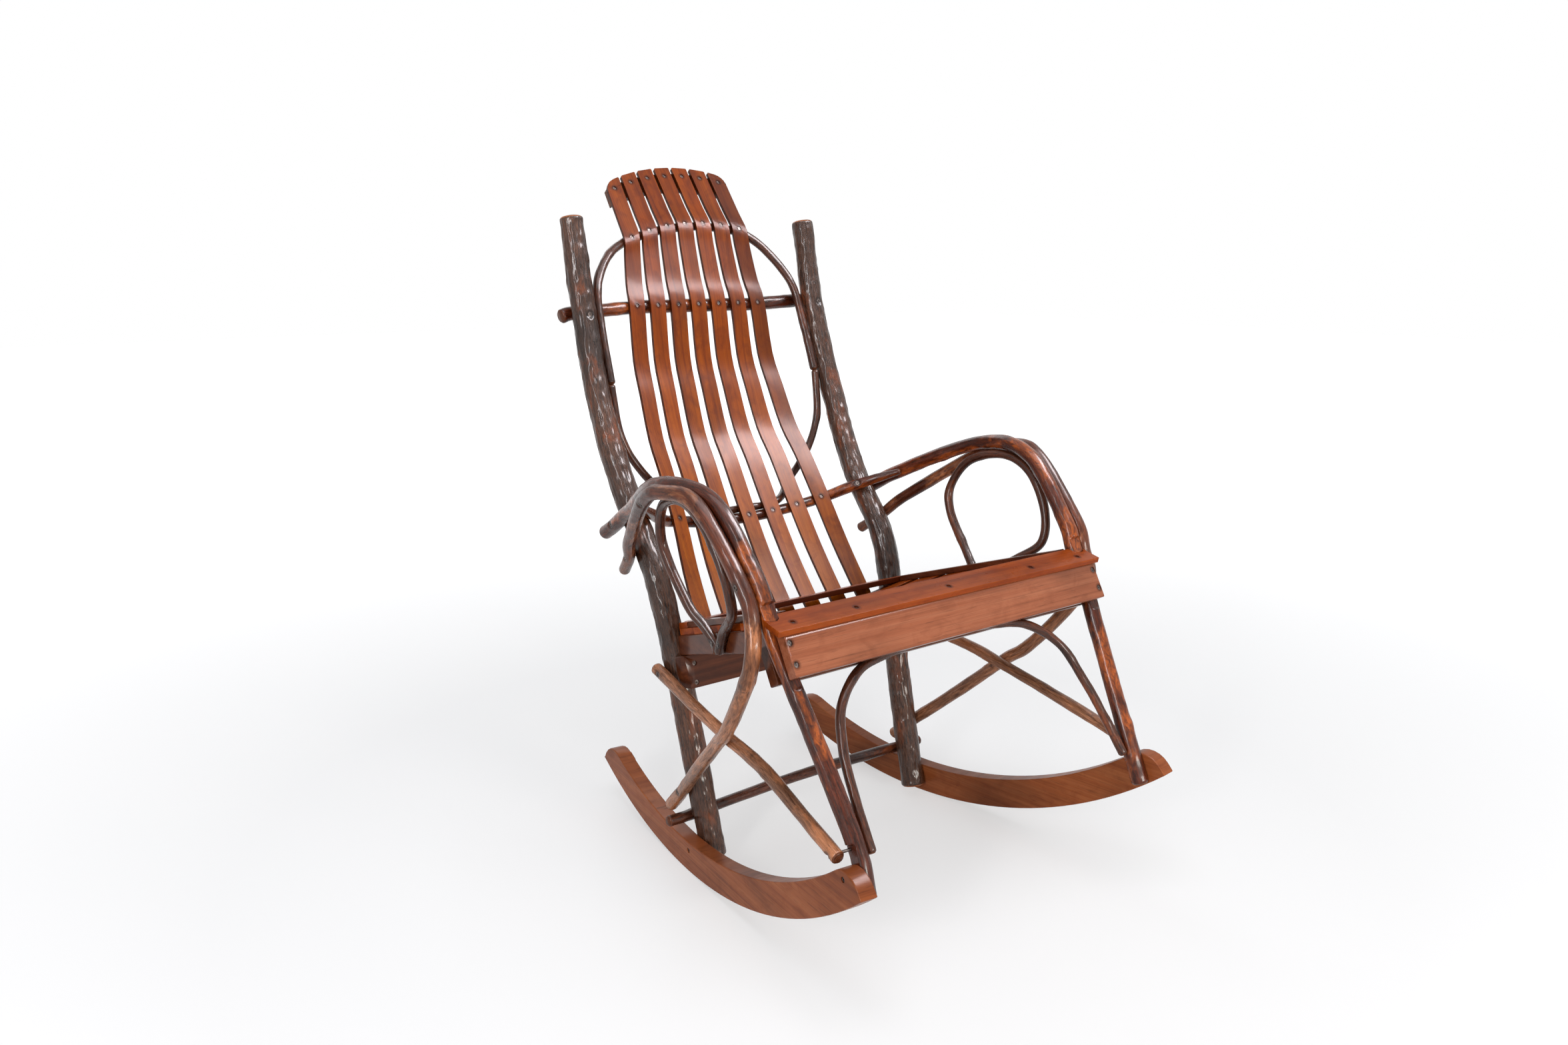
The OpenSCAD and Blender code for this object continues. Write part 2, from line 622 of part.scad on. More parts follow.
// Screws of one kind given as [point on the surface, way in], and of the frame as [point, way in, length]
module slat_kind(list, length, holes) {
    for (s = list) {
        if (holes) screw_hole(s[0], s[1], length, slat_screw_head, slat_screw_shank);
        else screw(s[0], s[1], length, slat_screw_head, slat_screw_shank);
    }
}
module frame_kind(list, holes) {
    for (s = list) {
        if (holes) screw_hole(s[0], s[1], s[2], frame_screw_head, frame_screw_shank);
        else screw(s[0], s[1], s[2], frame_screw_head, frame_screw_shank);
    }
}

back_screw_length = 19.5;
back_screw_rows = [mid_rod_row, hoop_row, top_row];
function frame_screw(f) = [f[0] - slat_thickness / 2 * f[3], f[3]];
function back_screw(u, row) = frame_screw(back_frame(u, row * slat_steps));
function slat_u(i) = 2 * (i - 1) / (slat_count - 1) - 1;
function row_screws(row) = [for (i = [1 : slat_count]) back_screw(slat_u(i), row)];
cross_bow_screws = [for (i = [1 : slat_count]) frame_screw(cross_bow_frame(slat_u(i)))];
function one_slat_screws(i) = concat([frame_screw(cross_bow_frame(slat_u(i)))],
    [for (row = back_screw_rows) back_screw(slat_u(i), row)]);

// Lap screw from the outside of one stick through it into another: [surface point, way in, length]
function lap_screw(outer, outer_diameter, inner, length) =
    let (way = unit(inner - outer)) [outer - outer_diameter / 2 * way, way, length];
function flipped(s) = [[-s[0].x, s[0].y, s[0].z], [-s[1].x, s[1].y, s[1].z], s[2]];

brace_post_screw = lap_screw(xyz(brace_route[1]), brace_diameter, xyz(brace_post), 48);
brace_leg_screw = lap_screw([brace_route[7].x - 0.6, -447, 223.5], brace_diameter,
    xyz(leg(233)), 46);
bow_post_high_screw = lap_screw(xyz(bow_route[1]), bow_end_diameter, xyz(bow_high), 46);
bow_post_low_screw = lap_screw(xyz(bow_route[12]), bow_low_diameter, xyz(bow_foot), 48);
bow_arm_screw = lap_screw(xyz(bow_route[3]), bow_diameter, xyz(arm(-51)), 44);
bow_leg_screw = lap_screw([bow_route[6].x + 0.2, -285, 563], bow_diameter, [leg(563).x, -285, 563], 44);
arm_post_screw = lap_screw(xyz(arm_route[9]), arm_end_diameter, xyz(arm_post), 44);
arm_side_screws = [brace_post_screw, brace_leg_screw, bow_post_high_screw, bow_post_low_screw,
    bow_arm_screw, bow_leg_screw, arm_post_screw];
arm_screw_list = concat(arm_side_screws, [for (s = arm_side_screws) flipped(s)]);

ring_rail_way = [-cos(seat_taper), -sin(seat_taper), 0];
ring_screw_rear = [xyz(ring_route[1]) - ring_diameter / 2 * ring_rail_way, ring_rail_way, 32];
ring_screw_front = [xyz(ring_route[13]) - ring_diameter / 2 * ring_rail_way, ring_rail_way, 32];
mid_rod_screws = [for (k = [1, 2]) let (z = mid_rod_heights[k], p = post(z), side = 2 * k - 3)
    [[side * p.x, p.y - p[3] / 2 / lean, z], [0, 1, 0], 44]];
cross_bow_screw = lap_screw(xyz(cross_bow_half[4]), cross_bow_diameter, xyz(post(561)), 38);
stretcher_screw =
    [[stretcher_half[0].x, stretcher_y + stretcher_diameter / 2, stretcher_height], [0, -1, 0], 44];
stick_side_screws = [ring_screw_rear, ring_screw_front, cross_bow_screw, stretcher_screw];
stick_screw_list = concat(mid_rod_screws, stick_side_screws, [for (s = stick_side_screws) flipped(s)]);

apron_way = [0, cos(leg_rake), -sin(leg_rake)];
apron_back = leg_diameter / 2 - 4;
apron_front = apron_back + apron_thickness;
function apron_screw(x, v) = let (p = leg_point(v, apron_front)) [[x, p.x, p.y], apron_way, 48];
apron_screw_x = leg(485).x - 3;

rear_rail_way = [0, cos(slat_foot_way), -sin(slat_foot_way)];
rear_rail_screw_rises = [9.2, 40.2];
rear_rail_screw_list = [for (x = [-235, 235], rise = rear_rail_screw_rises) let (z = rear_rail_foot_z + rise)
    [[x, post_front(z) - rear_rail_ease - rear_rail_thickness / lean, z], rear_rail_way, 40]];

// Seat

front_rail_top = let (y = seat_slat_y(1) - seat_slat_width / 2 * cos(seat_tilt),
        z = seat_z(seat_slat_y(1)) + seat_slat_width / 2 * sin(seat_tilt) - seat_dish * cos(seat_tilt))
    (y - leg_ref_y) * sin(leg_rake) + (z - leg_ref_z) * cos(leg_rake) - 2.3;
function seat_slat_y(i) = first_slat_y + (i - 1) * seat_slat_pitch;

// Children in the frame of a seat slat: its middle on the seat plane, Y down the slope of the seat
module on_seat(y) {
    translate([0, y, seat_z(y)]) rotate([-seat_tilt, 0, 0]) children();
}

dish_steps = 20;
// Half the width of the dished part of a slat, which starts just inside the side rails
function dish_x(y) = rail_x(y + seat_slat_width / 2) - side_rail_thickness - 1;
function dished(x, y) = let (h = dish_x(y)) abs(x) >= h ? 0 : -seat_dish * (1 - x * x / h / h);

module dished_slat(y) {
    h = dish_x(y);
    w = seat_x(y);
    line = concat([-w], [for (k = [-dish_steps / 2 : dish_steps / 2]) h * 2 * k / dish_steps], [w]);
    n = len(line);
    on_seat(y) rotate([90, 0, 0]) linear_extrude(seat_slat_width, center = true)
        polygon(concat(
            [for (k = [0 : n - 1]) [line[k], dished(line[k], y)]],
            [for (k = [n - 1 : -1 : 0]) [line[k], dished(line[k], y) + seat_slat_thickness]]));
}

module seat_slat(i) {
    color([0.50, 0.22, 0.10]) difference() {
        dished_slat(seat_slat_y(i));
        slat_kind([slat_screw_at(i)], seat_screw_length, true);
    }
}

seat_screw_length = 24;
function seat_point(y, z) = [0, y + z * sin(seat_tilt), seat_z(y) + z * cos(seat_tilt)];
function slat_screw_at(i) = [seat_point(seat_slat_y(i), seat_slat_thickness - seat_dish),
    [0, -sin(seat_tilt), -cos(seat_tilt)]];

// Board along one side of the seat, inwards from its outer face: its outline is a side view as [y, z] points,
// clockwise as seen from outside
module side_board(outer, thickness, outline) {
    n = len(outline);
    points = [for (inward = [0, thickness / cos(seat_taper)], p = outline)
        [seat_x(p.x) + outer - inward, p.x, p.y]];
    edges = [for (k = [0 : n - 1]) [(k + 1) % n, k, k + n, (k + 1) % n + n]];
    polyhedron(points, concat([[for (k = [0 : n - 1]) k]], [[for (k = [n - 1 : -1 : 0]) k + n]], edges));
}

// Height of a line below the seat plane by a distance square to it
function seat_below(y, d) = seat_z(y) - d / cos(seat_tilt);

rail_rear_y = post_front(388);

module side_rail() {
    side_board(rail_ledge, side_rail_thickness, [
        seat_meet(front_rail_back - fit, fit),
        [rail_rear_y, seat_below(rail_rear_y, fit)],
        [rear_rail_top_y, seat_below(rear_rail_top_y, side_rail_depth)],
        seat_meet(front_rail_back - fit, side_rail_depth)]);
}

// Front slat: it rests on the front top edge of the first seat slat and slopes down to the apron
front_slat_rest = [
    seat_slat_y(1) - seat_slat_width / 2 * cos(seat_tilt) + seat_slat_thickness * sin(seat_tilt),
    seat_z(seat_slat_y(1)) + seat_slat_width / 2 * sin(seat_tilt)
        + seat_slat_thickness * cos(seat_tilt) + fit];
front_slat_lap = 2;
leg_notch_fit = 1;
function apron_top(w) =
    let (t = tan(front_slat_tilt), k = front_slat_rest.y - t * front_slat_rest.x - fit / cos(front_slat_tilt))
    (k - leg_ref_z - w * sin(leg_rake) + t * (leg_ref_y - w * cos(leg_rake)))
        / (cos(leg_rake) - t * sin(leg_rake));

apron_screw_drops = [10.5, 41];
apron_screw_list = [for (x = [-apron_screw_x, apron_screw_x], drop = apron_screw_drops)
    apron_screw(x, apron_top(apron_front) - drop)];

module front_seat_slat() {
    color([0.52, 0.25, 0.14]) difference() {
        translate([0, front_slat_rest.x, front_slat_rest.y]) rotate([front_slat_tilt, 0, 0])
            translate([-front_slat_half_length, front_slat_lap - front_slat_width, 0])
                cube([2 * front_slat_half_length, front_slat_width, front_slat_thickness]);
        for (side = [-1, 1]) {
            p = leg(518);
            aimed([side * p.x, p.y, p.z], unit([side * 0.08, sin(leg_rake), cos(leg_rake)]))
                cylinder(d = leg_diameter + 2 * leg_notch_fit, h = 80, center = true);
        }
        slat_kind(front_slat_screw_list, back_screw_length, true);
    }
}

front_slat_screw_y = -334;
function front_slat_top(y) = front_slat_rest.y + tan(front_slat_tilt) * (y - front_slat_rest.x)
    + front_slat_thickness / cos(front_slat_tilt);
front_slat_screw_list = [for (x = [-297, -183, 0, 183, 297])
    [[x, front_slat_screw_y, front_slat_top(front_slat_screw_y)], [0, 0, -1]]];
seat_screw_list = [for (i = [1 : 6]) slat_screw_at(i)];

// Rear board, on the ends of the last seat slat, notched round the posts
rear_board_start = 3;
rear_board_half_length = seat_x(seat_slat_y(6)) - 3;
post_notch_x = post(400).x - post_diameter / 2 - 6;
post_notch_y = post_front(395) - 2;

module rear_seat_board() {
    color([0.50, 0.24, 0.12]) difference() {
        on_seat(seat_slat_y(6)) translate([-rear_board_half_length, rear_board_start, seat_slat_thickness])
            cube([2 * rear_board_half_length, rear_board_width, rear_board_thickness]);
        for (side = [-1, 1]) translate([side * (post_notch_x + 40), post_notch_y + 40, 400])
            cube([80, 80, 80], center = true);
    }
}

strip_inset = 1.5;
strip_front_y = front_slat_rest.x + 6;
strip_rear_y = seat_point(seat_slat_y(6), seat_slat_thickness).y + rear_board_start * cos(seat_tilt) - 1;

module side_strip() {
    side_board(-strip_inset, strip_width, [
        [strip_front_y, seat_below(strip_front_y, -seat_slat_thickness - strip_height)],
        [strip_rear_y, seat_below(strip_rear_y, -seat_slat_thickness - strip_height)],
        [strip_rear_y, seat_below(strip_rear_y, -seat_slat_thickness - fit)],
        [strip_front_y, seat_below(strip_front_y, -seat_slat_thickness - fit)]]);
}

// Board across the chair from a side view outline of [y, z] points
module cross_board(half_length, outline) {
    rotate([90, 0, 90]) linear_extrude(2 * half_length, center = true) polygon(outline);
}

rocker_foot_screws = let (way = [-cos(rocker_toe_in), -sin(rocker_toe_in), 0])
    [for (p = [[-24, 38], [-480, 205]]) [[rocker_x(p.x, 1), p.x, p.y], way, 44]];

module rocker(left) {
    color([0.62, 0.29, 0.14]) mirrored(left) difference() {
        rocker_board();
        frame_kind(rocker_foot_screws, true);
    }
}

module back_post(left) {
    foot_flat = [[rocker_x(foot_y, -1) - fit, foot_y, post_foot_height], rocker_out, 75, 0];
    color([0.27, 0.20, 0.16]) mirrored(left) difference() {
        stick(post_route, flats = [foot_flat]);
        frame_kind(concat(rocker_foot_screws, rear_rail_screw_list,
            [brace_post_screw, bow_post_high_screw, bow_post_low_screw, arm_post_screw,
                cross_bow_screw, stretcher_screw,
                left ? flipped(mid_rod_screws[0]) : mid_rod_screws[1]]), true);
    }
}

module leg_and_arm(left) {
    front = leg_point(7, apron_back - fit);
    rear = leg_point(-18, front_rail_front + fit);
    leg_flats = [
        [[rocker_x(leg_foot_y, -1) - fit, leg_foot_y, leg_foot_height], rocker_out, 75, 0],
        [[leg(482).x, front.x, front.y], -apron_way, 62, 2],
        [[leg(459).x, rear.x, rear.y], apron_way, 50, 2]];
    color([0.42, 0.20, 0.12]) mirrored(left) difference() {
        stick(arm_route, flats = leg_flats);
        frame_kind(concat(rocker_foot_screws, apron_screw_list,
            [brace_leg_screw, bow_arm_screw, bow_leg_screw, arm_post_screw]), true);
    }
}

module side_bow(left) {
    color([0.46, 0.27, 0.16]) mirrored(left) difference() {
        stick(bow_route);
        frame_kind([bow_post_high_screw, bow_post_low_screw, bow_arm_screw, bow_leg_screw], true);
    }
}

module arm_ring(left) {
    // The two ends meet in a mitre against the outer face of the side rail
    mitre = unit([0, 0.93, 0.13]);
    tip = [rail_x(ring_tip_y), ring_tip_y, ring_tip_z];
    color([0.30, 0.19, 0.15]) mirrored(left) difference() {
        stick(ring_route, thin_sides,
            [[tip - fit / 2 * mitre, mitre, 28, 1], [tip + fit / 2 * mitre, -mitre, 28, 0]]);
        frame_kind([ring_screw_rear, ring_screw_front], true);
    }
}

module side_brace(left) {
    color([0.50, 0.31, 0.18]) mirrored(left) difference() {
        stick(brace_route);
        frame_kind([brace_post_screw, brace_leg_screw], true);
    }
}

module front_hoop() {
    color([0.30, 0.19, 0.15])
        stick(front_hoop_route, thin_sides);
}

module rear_stretcher() {
    color([0.40, 0.25, 0.17]) difference() {
        stick(mirrored_route([0, stretcher_y + 1, stretcher_height + 6, stretcher_diameter], stretcher_half));
        frame_kind([stretcher_screw, flipped(stretcher_screw)], true);
    }
}

module mid_back_rod() {
    color([0.38, 0.21, 0.14]) difference() {
        stick(mid_rod_route);
        frame_kind(mid_rod_screws, true);
        slat_kind(row_screws(mid_rod_row), back_screw_length, true);
    }
}

module upper_back_hoop() {
    color([0.33, 0.20, 0.15]) difference() {
        stick(upper_hoop_route, thin_sides);
        slat_kind(row_screws(hoop_row), back_screw_length, true);
    }
}

module lower_back_hoop() {
    color([0.33, 0.20, 0.15])
        stick(mirrored_route(lower_hoop_middle, lower_hoop_half), thin_sides);
}

module arm_cross_bow() {
    color([0.36, 0.22, 0.16]) difference() {
        stick(mirrored_route(cross_bow_point(0), cross_bow_half), thin_sides + 2);
        frame_kind([cross_bow_screw, flipped(cross_bow_screw)], true);
        slat_kind(cross_bow_screws, back_screw_length, true);
    }
}

module apron() {
    bottom = apron_top(apron_front) - apron_width;
    color([0.55, 0.27, 0.20]) difference() {
        cross_board(apron_half_length, [
            leg_point(bottom, apron_back), leg_point(bottom, apron_front),
            leg_point(apron_top(apron_front), apron_front), leg_point(apron_top(apron_back), apron_back)]);
        frame_kind(apron_screw_list, true);
        slat_kind(front_slat_screw_list, back_screw_length, true);
    }
}

module front_seat_rail() {
    color([0.36, 0.18, 0.11]) difference() {
        cross_board(front_rail_half_length, [
            leg_point(front_rail_top - front_rail_width, front_rail_back),
            leg_point(front_rail_top - front_rail_width, front_rail_front),
            leg_point(front_rail_top, front_rail_front), leg_point(front_rail_top, front_rail_back)]);
        frame_kind(apron_screw_list, true);
    }
}

module rear_seat_rail() {
    bevel = 8;
    top = rear_rail_top_y - rear_rail_ease;
    bottom_z = rear_rail_foot_z;
    bottom = post_front(bottom_z) - rear_rail_ease;
    depth = rear_rail_thickness / lean;
    color([0.38, 0.19, 0.11]) difference() {
        cross_board(rear_rail_half_length, [
            [bottom, bottom_z],
            [top, seat_below(top, side_rail_depth + fit)],
            [top - depth, seat_below(top - depth, side_rail_depth + fit)],
            [bottom - depth, bottom_z]]);
        frame_kind(rear_rail_screw_list, true);
        for (side = [-1, 1])
            translate([side * rear_rail_half_length, post_front(325) - rear_rail_thickness - 3, 325])
                rotate([0, 0, 45]) cube([2 * bevel, 2 * bevel, 120], center = true);
    }
}

module side_rail_node(left) {
    color([0.42, 0.20, 0.11]) mirrored(left) difference() {
        side_rail();
        frame_kind([ring_screw_rear, ring_screw_front], true);
    }
}

module centre_rail() {
    depth = side_rail_depth - seat_dish;
    rear_y = rear_rail_top_y - 1;
    color([0.38, 0.19, 0.11]) difference() {
        cross_board(centre_rail_width / 2, [
            seat_meet(front_rail_back - fit, seat_dish + fit),
            seat_meet(front_rail_back - fit, seat_dish + fit + depth),
            [rear_y, seat_below(rear_y, seat_dish + depth)],
            [rear_y, seat_below(rear_y, seat_dish + fit)]]);
        slat_kind(seat_screw_list, seat_screw_length, true);
    }
}

module side_strip_node(left) {
    color([0.46, 0.22, 0.12]) mirrored(left) side_strip();
}

module back_slat(i) {
    color([0.66, 0.31, 0.11]) difference() {
        ribbon(slat_rings(slat_u(i)), slat_thickness);
        slat_kind(one_slat_screws(i), back_screw_length, true);
    }
}

// The crest rail follows the backs of the slats' tops, across all of them
crest_gap = 0.6;
// The top screws enter it above its middle
crest_drop = 7;
crest_rings = let (last = len(slat_curve) - 1, reach = 1 + crest_overhang / slat_curve[last][3], n = 28)
    [for (k = [0 : n])
        let (f = back_frame(reach * (2 * k / n - 1), last), half = crest_height / 2)
        [f[0] - crest_drop * f[2] + (slat_thickness / 2 + crest_gap + crest_thickness / 2) * f[3],
            f[2], f[3], half, half]];

module crest_rail() {
    color([0.50, 0.23, 0.12]) difference() {
        ribbon(crest_rings, crest_thickness);
        slat_kind(row_screws(top_row), back_screw_length, true);
    }
}

module back_slat_screws() {
    rows = concat(cross_bow_screws, row_screws(mid_rod_row), row_screws(hoop_row), row_screws(top_row));
    color([0.30, 0.24, 0.22]) slat_kind(rows, back_screw_length, false);
}

module seat_screws() {
    color([0.30, 0.24, 0.22]) {
        slat_kind(seat_screw_list, seat_screw_length, false);
        slat_kind(front_slat_screw_list, back_screw_length, false);
    }
}

module apron_screws() {
    color([0.30, 0.24, 0.22]) frame_kind(apron_screw_list, false);
}

module rear_rail_screws() {
    color([0.30, 0.24, 0.22]) frame_kind(rear_rail_screw_list, false);
}

module arm_screws() {
    color([0.30, 0.24, 0.22]) frame_kind(arm_screw_list, false);
}

module stick_screws() {
    color([0.30, 0.24, 0.22]) {
        frame_kind(stick_screw_list, false);
        frame_kind(rocker_foot_screws, false);
        frame_kind([for (s = rocker_foot_screws) flipped(s)], false);
    }
}

rocker(true);  // rocker_left
rocker(false);  // rocker_right
back_post(true);  // back_post_left
back_post(false);  // back_post_right
leg_and_arm(true);  // leg_and_arm_left
leg_and_arm(false);  // leg_and_arm_right
side_bow(true);  // side_bow_left
side_bow(false);  // side_bow_right
arm_ring(true);  // arm_ring_left
arm_ring(false);  // arm_ring_right
side_brace(true);  // side_brace_left
side_brace(false);  // side_brace_right
front_hoop();
rear_stretcher();
mid_back_rod();
upper_back_hoop();
lower_back_hoop();
arm_cross_bow();
apron();
front_seat_rail();
rear_seat_rail();
side_rail_node(true);  // side_rail_left
side_rail_node(false);  // side_rail_right
centre_rail();
front_seat_slat();
seat_slat(1);  // seat_slat_1
seat_slat(2);  // seat_slat_2
seat_slat(3);  // seat_slat_3
seat_slat(4);  // seat_slat_4
seat_slat(5);  // seat_slat_5
seat_slat(6);  // seat_slat_6
side_strip_node(true);  // side_strip_left
side_strip_node(false);  // side_strip_right
rear_seat_board();
back_slat(1);  // back_slat_1
back_slat(2);  // back_slat_2
back_slat(3);  // back_slat_3
back_slat(4);  // back_slat_4
back_slat(5);  // back_slat_5
back_slat(6);  // back_slat_6
back_slat(7);  // back_slat_7
crest_rail();
back_slat_screws();
seat_screws();
apron_screws();
rear_rail_screws();
arm_screws();
stick_screws();
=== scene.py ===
import math

import bpy
import numpy as np
from mathutils import Matrix, Vector

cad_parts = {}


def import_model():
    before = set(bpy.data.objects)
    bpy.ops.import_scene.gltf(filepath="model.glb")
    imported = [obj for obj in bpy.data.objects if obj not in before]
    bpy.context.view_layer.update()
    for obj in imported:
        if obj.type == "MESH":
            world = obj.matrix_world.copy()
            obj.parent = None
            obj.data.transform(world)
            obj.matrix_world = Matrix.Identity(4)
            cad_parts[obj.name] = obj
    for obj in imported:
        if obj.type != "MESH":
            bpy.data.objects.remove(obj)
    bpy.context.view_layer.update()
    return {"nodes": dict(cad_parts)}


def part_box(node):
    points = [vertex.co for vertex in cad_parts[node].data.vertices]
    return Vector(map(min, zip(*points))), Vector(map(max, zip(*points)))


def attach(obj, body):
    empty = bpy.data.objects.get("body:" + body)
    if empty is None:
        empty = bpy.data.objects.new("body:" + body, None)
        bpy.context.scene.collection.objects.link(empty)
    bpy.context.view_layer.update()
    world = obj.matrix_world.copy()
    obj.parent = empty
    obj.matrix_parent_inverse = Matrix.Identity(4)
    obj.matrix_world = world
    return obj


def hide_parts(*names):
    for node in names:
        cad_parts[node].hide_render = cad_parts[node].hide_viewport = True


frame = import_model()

MM = 0.001
X, Y, Z = 0, 1, 2

# Where the sticks run, in millimetres; where there are two, this is the right-hand one

# Room between pieces that touch
FIT = 0.2
LEG_RAKE = math.radians(28.7)
# The legs' middle line passes through this place
LEG_PLACE_Y = -331.8
LEG_PLACE_Z = 475
LEG_FOOT_Y = -490
LEG_FOOT_HEIGHT = 171
LEG_FOOT_PARE = 5
LEG_DIAMETER = 27
LEG_FOOT_DIAMETER = LEG_DIAMETER + 1
ARM_END_DIAMETER = 25
ARM_DIAMETER = (LEG_DIAMETER + ARM_END_DIAMETER) / 2
POST_FOOT_Y = -30
POST_FOOT_HEIGHT = 16
POST_FOOT_PARE = 2
POST_HEIGHT = 1066
POST_DIAMETER = 44
POST_TOP_DIAMETER = 41
BOW_DIAMETER = 24
BOW_LOW_DIAMETER = BOW_DIAMETER - 1.5
BOW_END_DIAMETER = 20
RING_DIAMETER = 16
RING_TIP_Y = -139.4
RING_TIP_HEIGHT = 412
BRACE_DIAMETER = 20.5
STRETCHER_DIAMETER = 19.4
STRETCHER_HEIGHT = 77
STRETCHER_RISE = 6
STRETCHER_HALF_LENGTH = 288
MID_ROD_DIAMETER = 25.2
MID_ROD_HALF_LENGTH = 282
CROSS_BOW_DIAMETER = 20.5
CROSS_BOW_TIP_DIAMETER = 11
CROSS_BOW_HEIGHT = 553
CROSS_BOW_SAG = 17
UPPER_HOOP_DIAMETER = 16.4
LOWER_HOOP_DIAMETER = 14.7
HOOP_JOINT_HEIGHT = 782
FRONT_HOOP_DIAMETER = 14.7
ROCKER_HALF_GAUGE = 259
ROCKER_THICKNESS = 27
ROCKER_TOE_IN = math.radians(6.4)
SEAT_HALF_WIDTH = 303
SEAT_TAPER = math.radians(10.7)
SEAT_FRONT = -289
RAIL_LEDGE = 5
# Faces of the apron and of the front rail, out from the legs' middle plane
APRON_BACK = LEG_DIAMETER / 2 - 4
FRONT_RAIL_FRONT = 0.5 - LEG_DIAMETER / 2
# Back slats
SLAT_THICKNESS = 6.5
CREST_ARCH = 17
CREST_SLANT = 9
ARCH_START = 915
ARCH_SPAN = 125
SLAT_CURVE_STEPS = 3
MID_ROD_ROW = 10
HOOP_ROW = 13
# Step up and down the back for its slope at a height
ROW_STEP = 8
# Cosine of the posts' slope, for the distance of sticks behind them
LEAN = 0.967
# Steps for each stretch of a curve on which a place is looked up
LOOKUP_STEPS = 4


def unit(v):
    """Vector of length one."""
    return v / np.linalg.norm(v)


def smooth_curve(points, steps, last_steps):
    """Curve through all the points, with some steps for each stretch; the last one counts its end too."""
    p = np.vstack([2 * points[0] - points[1], points, 2 * points[-1] - points[-2]])
    out = []
    for i in range(len(points) - 1):
        a, b, c, d = p[i:i + 4]
        is_last = i == len(points) - 2
        for t in np.linspace(0, 1, last_steps if is_last else steps, endpoint=is_last):
            out.append(0.5 * (2 * b + (c - a) * t + (2 * a - 5 * b + 4 * c - d) * t ** 2
                              + (3 * b - a - 3 * c + d) * t ** 3))
    return np.array(out)


def place_on(route, axis, value):
    """Place on a route at a given value of one coordinate, which only rises along it."""
    curve = smooth_curve(np.array(route, float), LOOKUP_STEPS, LOOKUP_STEPS + 1)
    return np.array([np.interp(value, curve[:, axis], column) for column in curve.T])


def apart(first, second):
    """Distance between the middle lines of two sticks that touch, from their diameters."""
    return (first + second) / 2 + FIT


def moved(place, distance, way, diameter):
    """Route point at a distance from a place."""
    return (*(place[:3] + distance * unit(np.array(way))), diameter)


def mirrored(middle, half):
    """Whole route from its middle point and its right half."""
    return [(-x, y, z, d) for x, y, z, d in reversed(half)] + [middle] + half


def rocker_x(y):
    """Inner face of the right rocker."""
    return ROCKER_HALF_GAUGE - math.tan(ROCKER_TOE_IN) * y - ROCKER_THICKNESS / 2 / math.cos(ROCKER_TOE_IN)


def rail_x(y):
    """Outer face of the right side rail."""
    return SEAT_HALF_WIDTH - math.tan(SEAT_TAPER) * (y - SEAT_FRONT) + RAIL_LEDGE


def leg_y(z):
    """Legs' middle line at a height."""
    return LEG_PLACE_Y + math.tan(LEG_RAKE) * (z - LEG_PLACE_Z)


def leg_place(x, up, out):
    """Place in the sloping plane of the legs: up along them, and out from it towards the front."""
    return np.array([x, LEG_PLACE_Y + up * math.sin(LEG_RAKE) - out * math.cos(LEG_RAKE),
                     LEG_PLACE_Z + up * math.cos(LEG_RAKE) + out * math.sin(LEG_RAKE)])


def post_route():
    foot_x = rocker_x(POST_FOOT_Y) - POST_DIAMETER / 2 + POST_FOOT_PARE
    return [
        (foot_x, POST_FOOT_Y, POST_FOOT_HEIGHT, POST_DIAMETER),
        (foot_x + 2, POST_FOOT_Y + 13, 66, POST_DIAMETER),
        (238, 36, 265, POST_DIAMETER),
        (251, 89, 463, POST_DIAMETER),
        (252, 183, 595, POST_DIAMETER),
        (257, 259, 744, POST_DIAMETER),
        (253, 316, 911, (POST_DIAMETER + POST_TOP_DIAMETER) / 2),
        (253, 350, POST_HEIGHT, POST_TOP_DIAMETER)]


def post(z):
    return place_on(post_route(), Z, z)


def behind_post(z, diameter):
    """Y of a stick behind the posts."""
    return post(z)[Y] + (post(z)[3] + diameter) / 2 / LEAN + FIT


def inside_post(z, diameter):
    """X of a stick against the inner side of the right post."""
    return post(z)[X] - apart(post(z)[3], diameter)


def arm_route():
    foot_x = rocker_x(LEG_FOOT_Y) - LEG_DIAMETER / 2 + LEG_FOOT_PARE
    return [
        (foot_x, LEG_FOOT_Y, LEG_FOOT_HEIGHT, LEG_FOOT_DIAMETER),
        (foot_x - 2, leg_y(232), 232, LEG_FOOT_DIAMETER),
        (302, leg_y(349), 349, LEG_DIAMETER),
        (318, leg_y(475), 475, LEG_DIAMETER),
        (320, leg_y(518), 518, LEG_DIAMETER),
        (322, leg_y(567) - 2, 567, LEG_DIAMETER),
        (330, -193, 663, ARM_DIAMETER),
        (343, -66, 669, ARM_DIAMETER),
        (296, 98, 598, ARM_DIAMETER),
        (post(562)[X] + apart(POST_DIAMETER, ARM_END_DIAMETER), 164, 562, ARM_END_DIAMETER),
        (284, 208, 538, ARM_END_DIAMETER)]


def arm(y):
    return place_on(arm_route(), Y, y)


def leg(z):
    return arm(leg_y(z))


def brace_route():
    post_x = post(327)[X] + apart(POST_DIAMETER, BRACE_DIAMETER)
    leg_x = leg(222)[X]
    return [(x, y, z, BRACE_DIAMETER) for x, y, z in (
        (post_x, 68, 332),
        (post_x, post(327)[Y] - 2, 327),
        (281, -30, 313),
        (290, -121, 300),
        (292, -173, 290),
        (294, -263, 273),
        (leg_x + (LEG_DIAMETER + BRACE_DIAMETER) / 2 - 3, -415, 233),
        (leg_x + apart(LEG_FOOT_DIAMETER, BRACE_DIAMETER), -457, 221))]


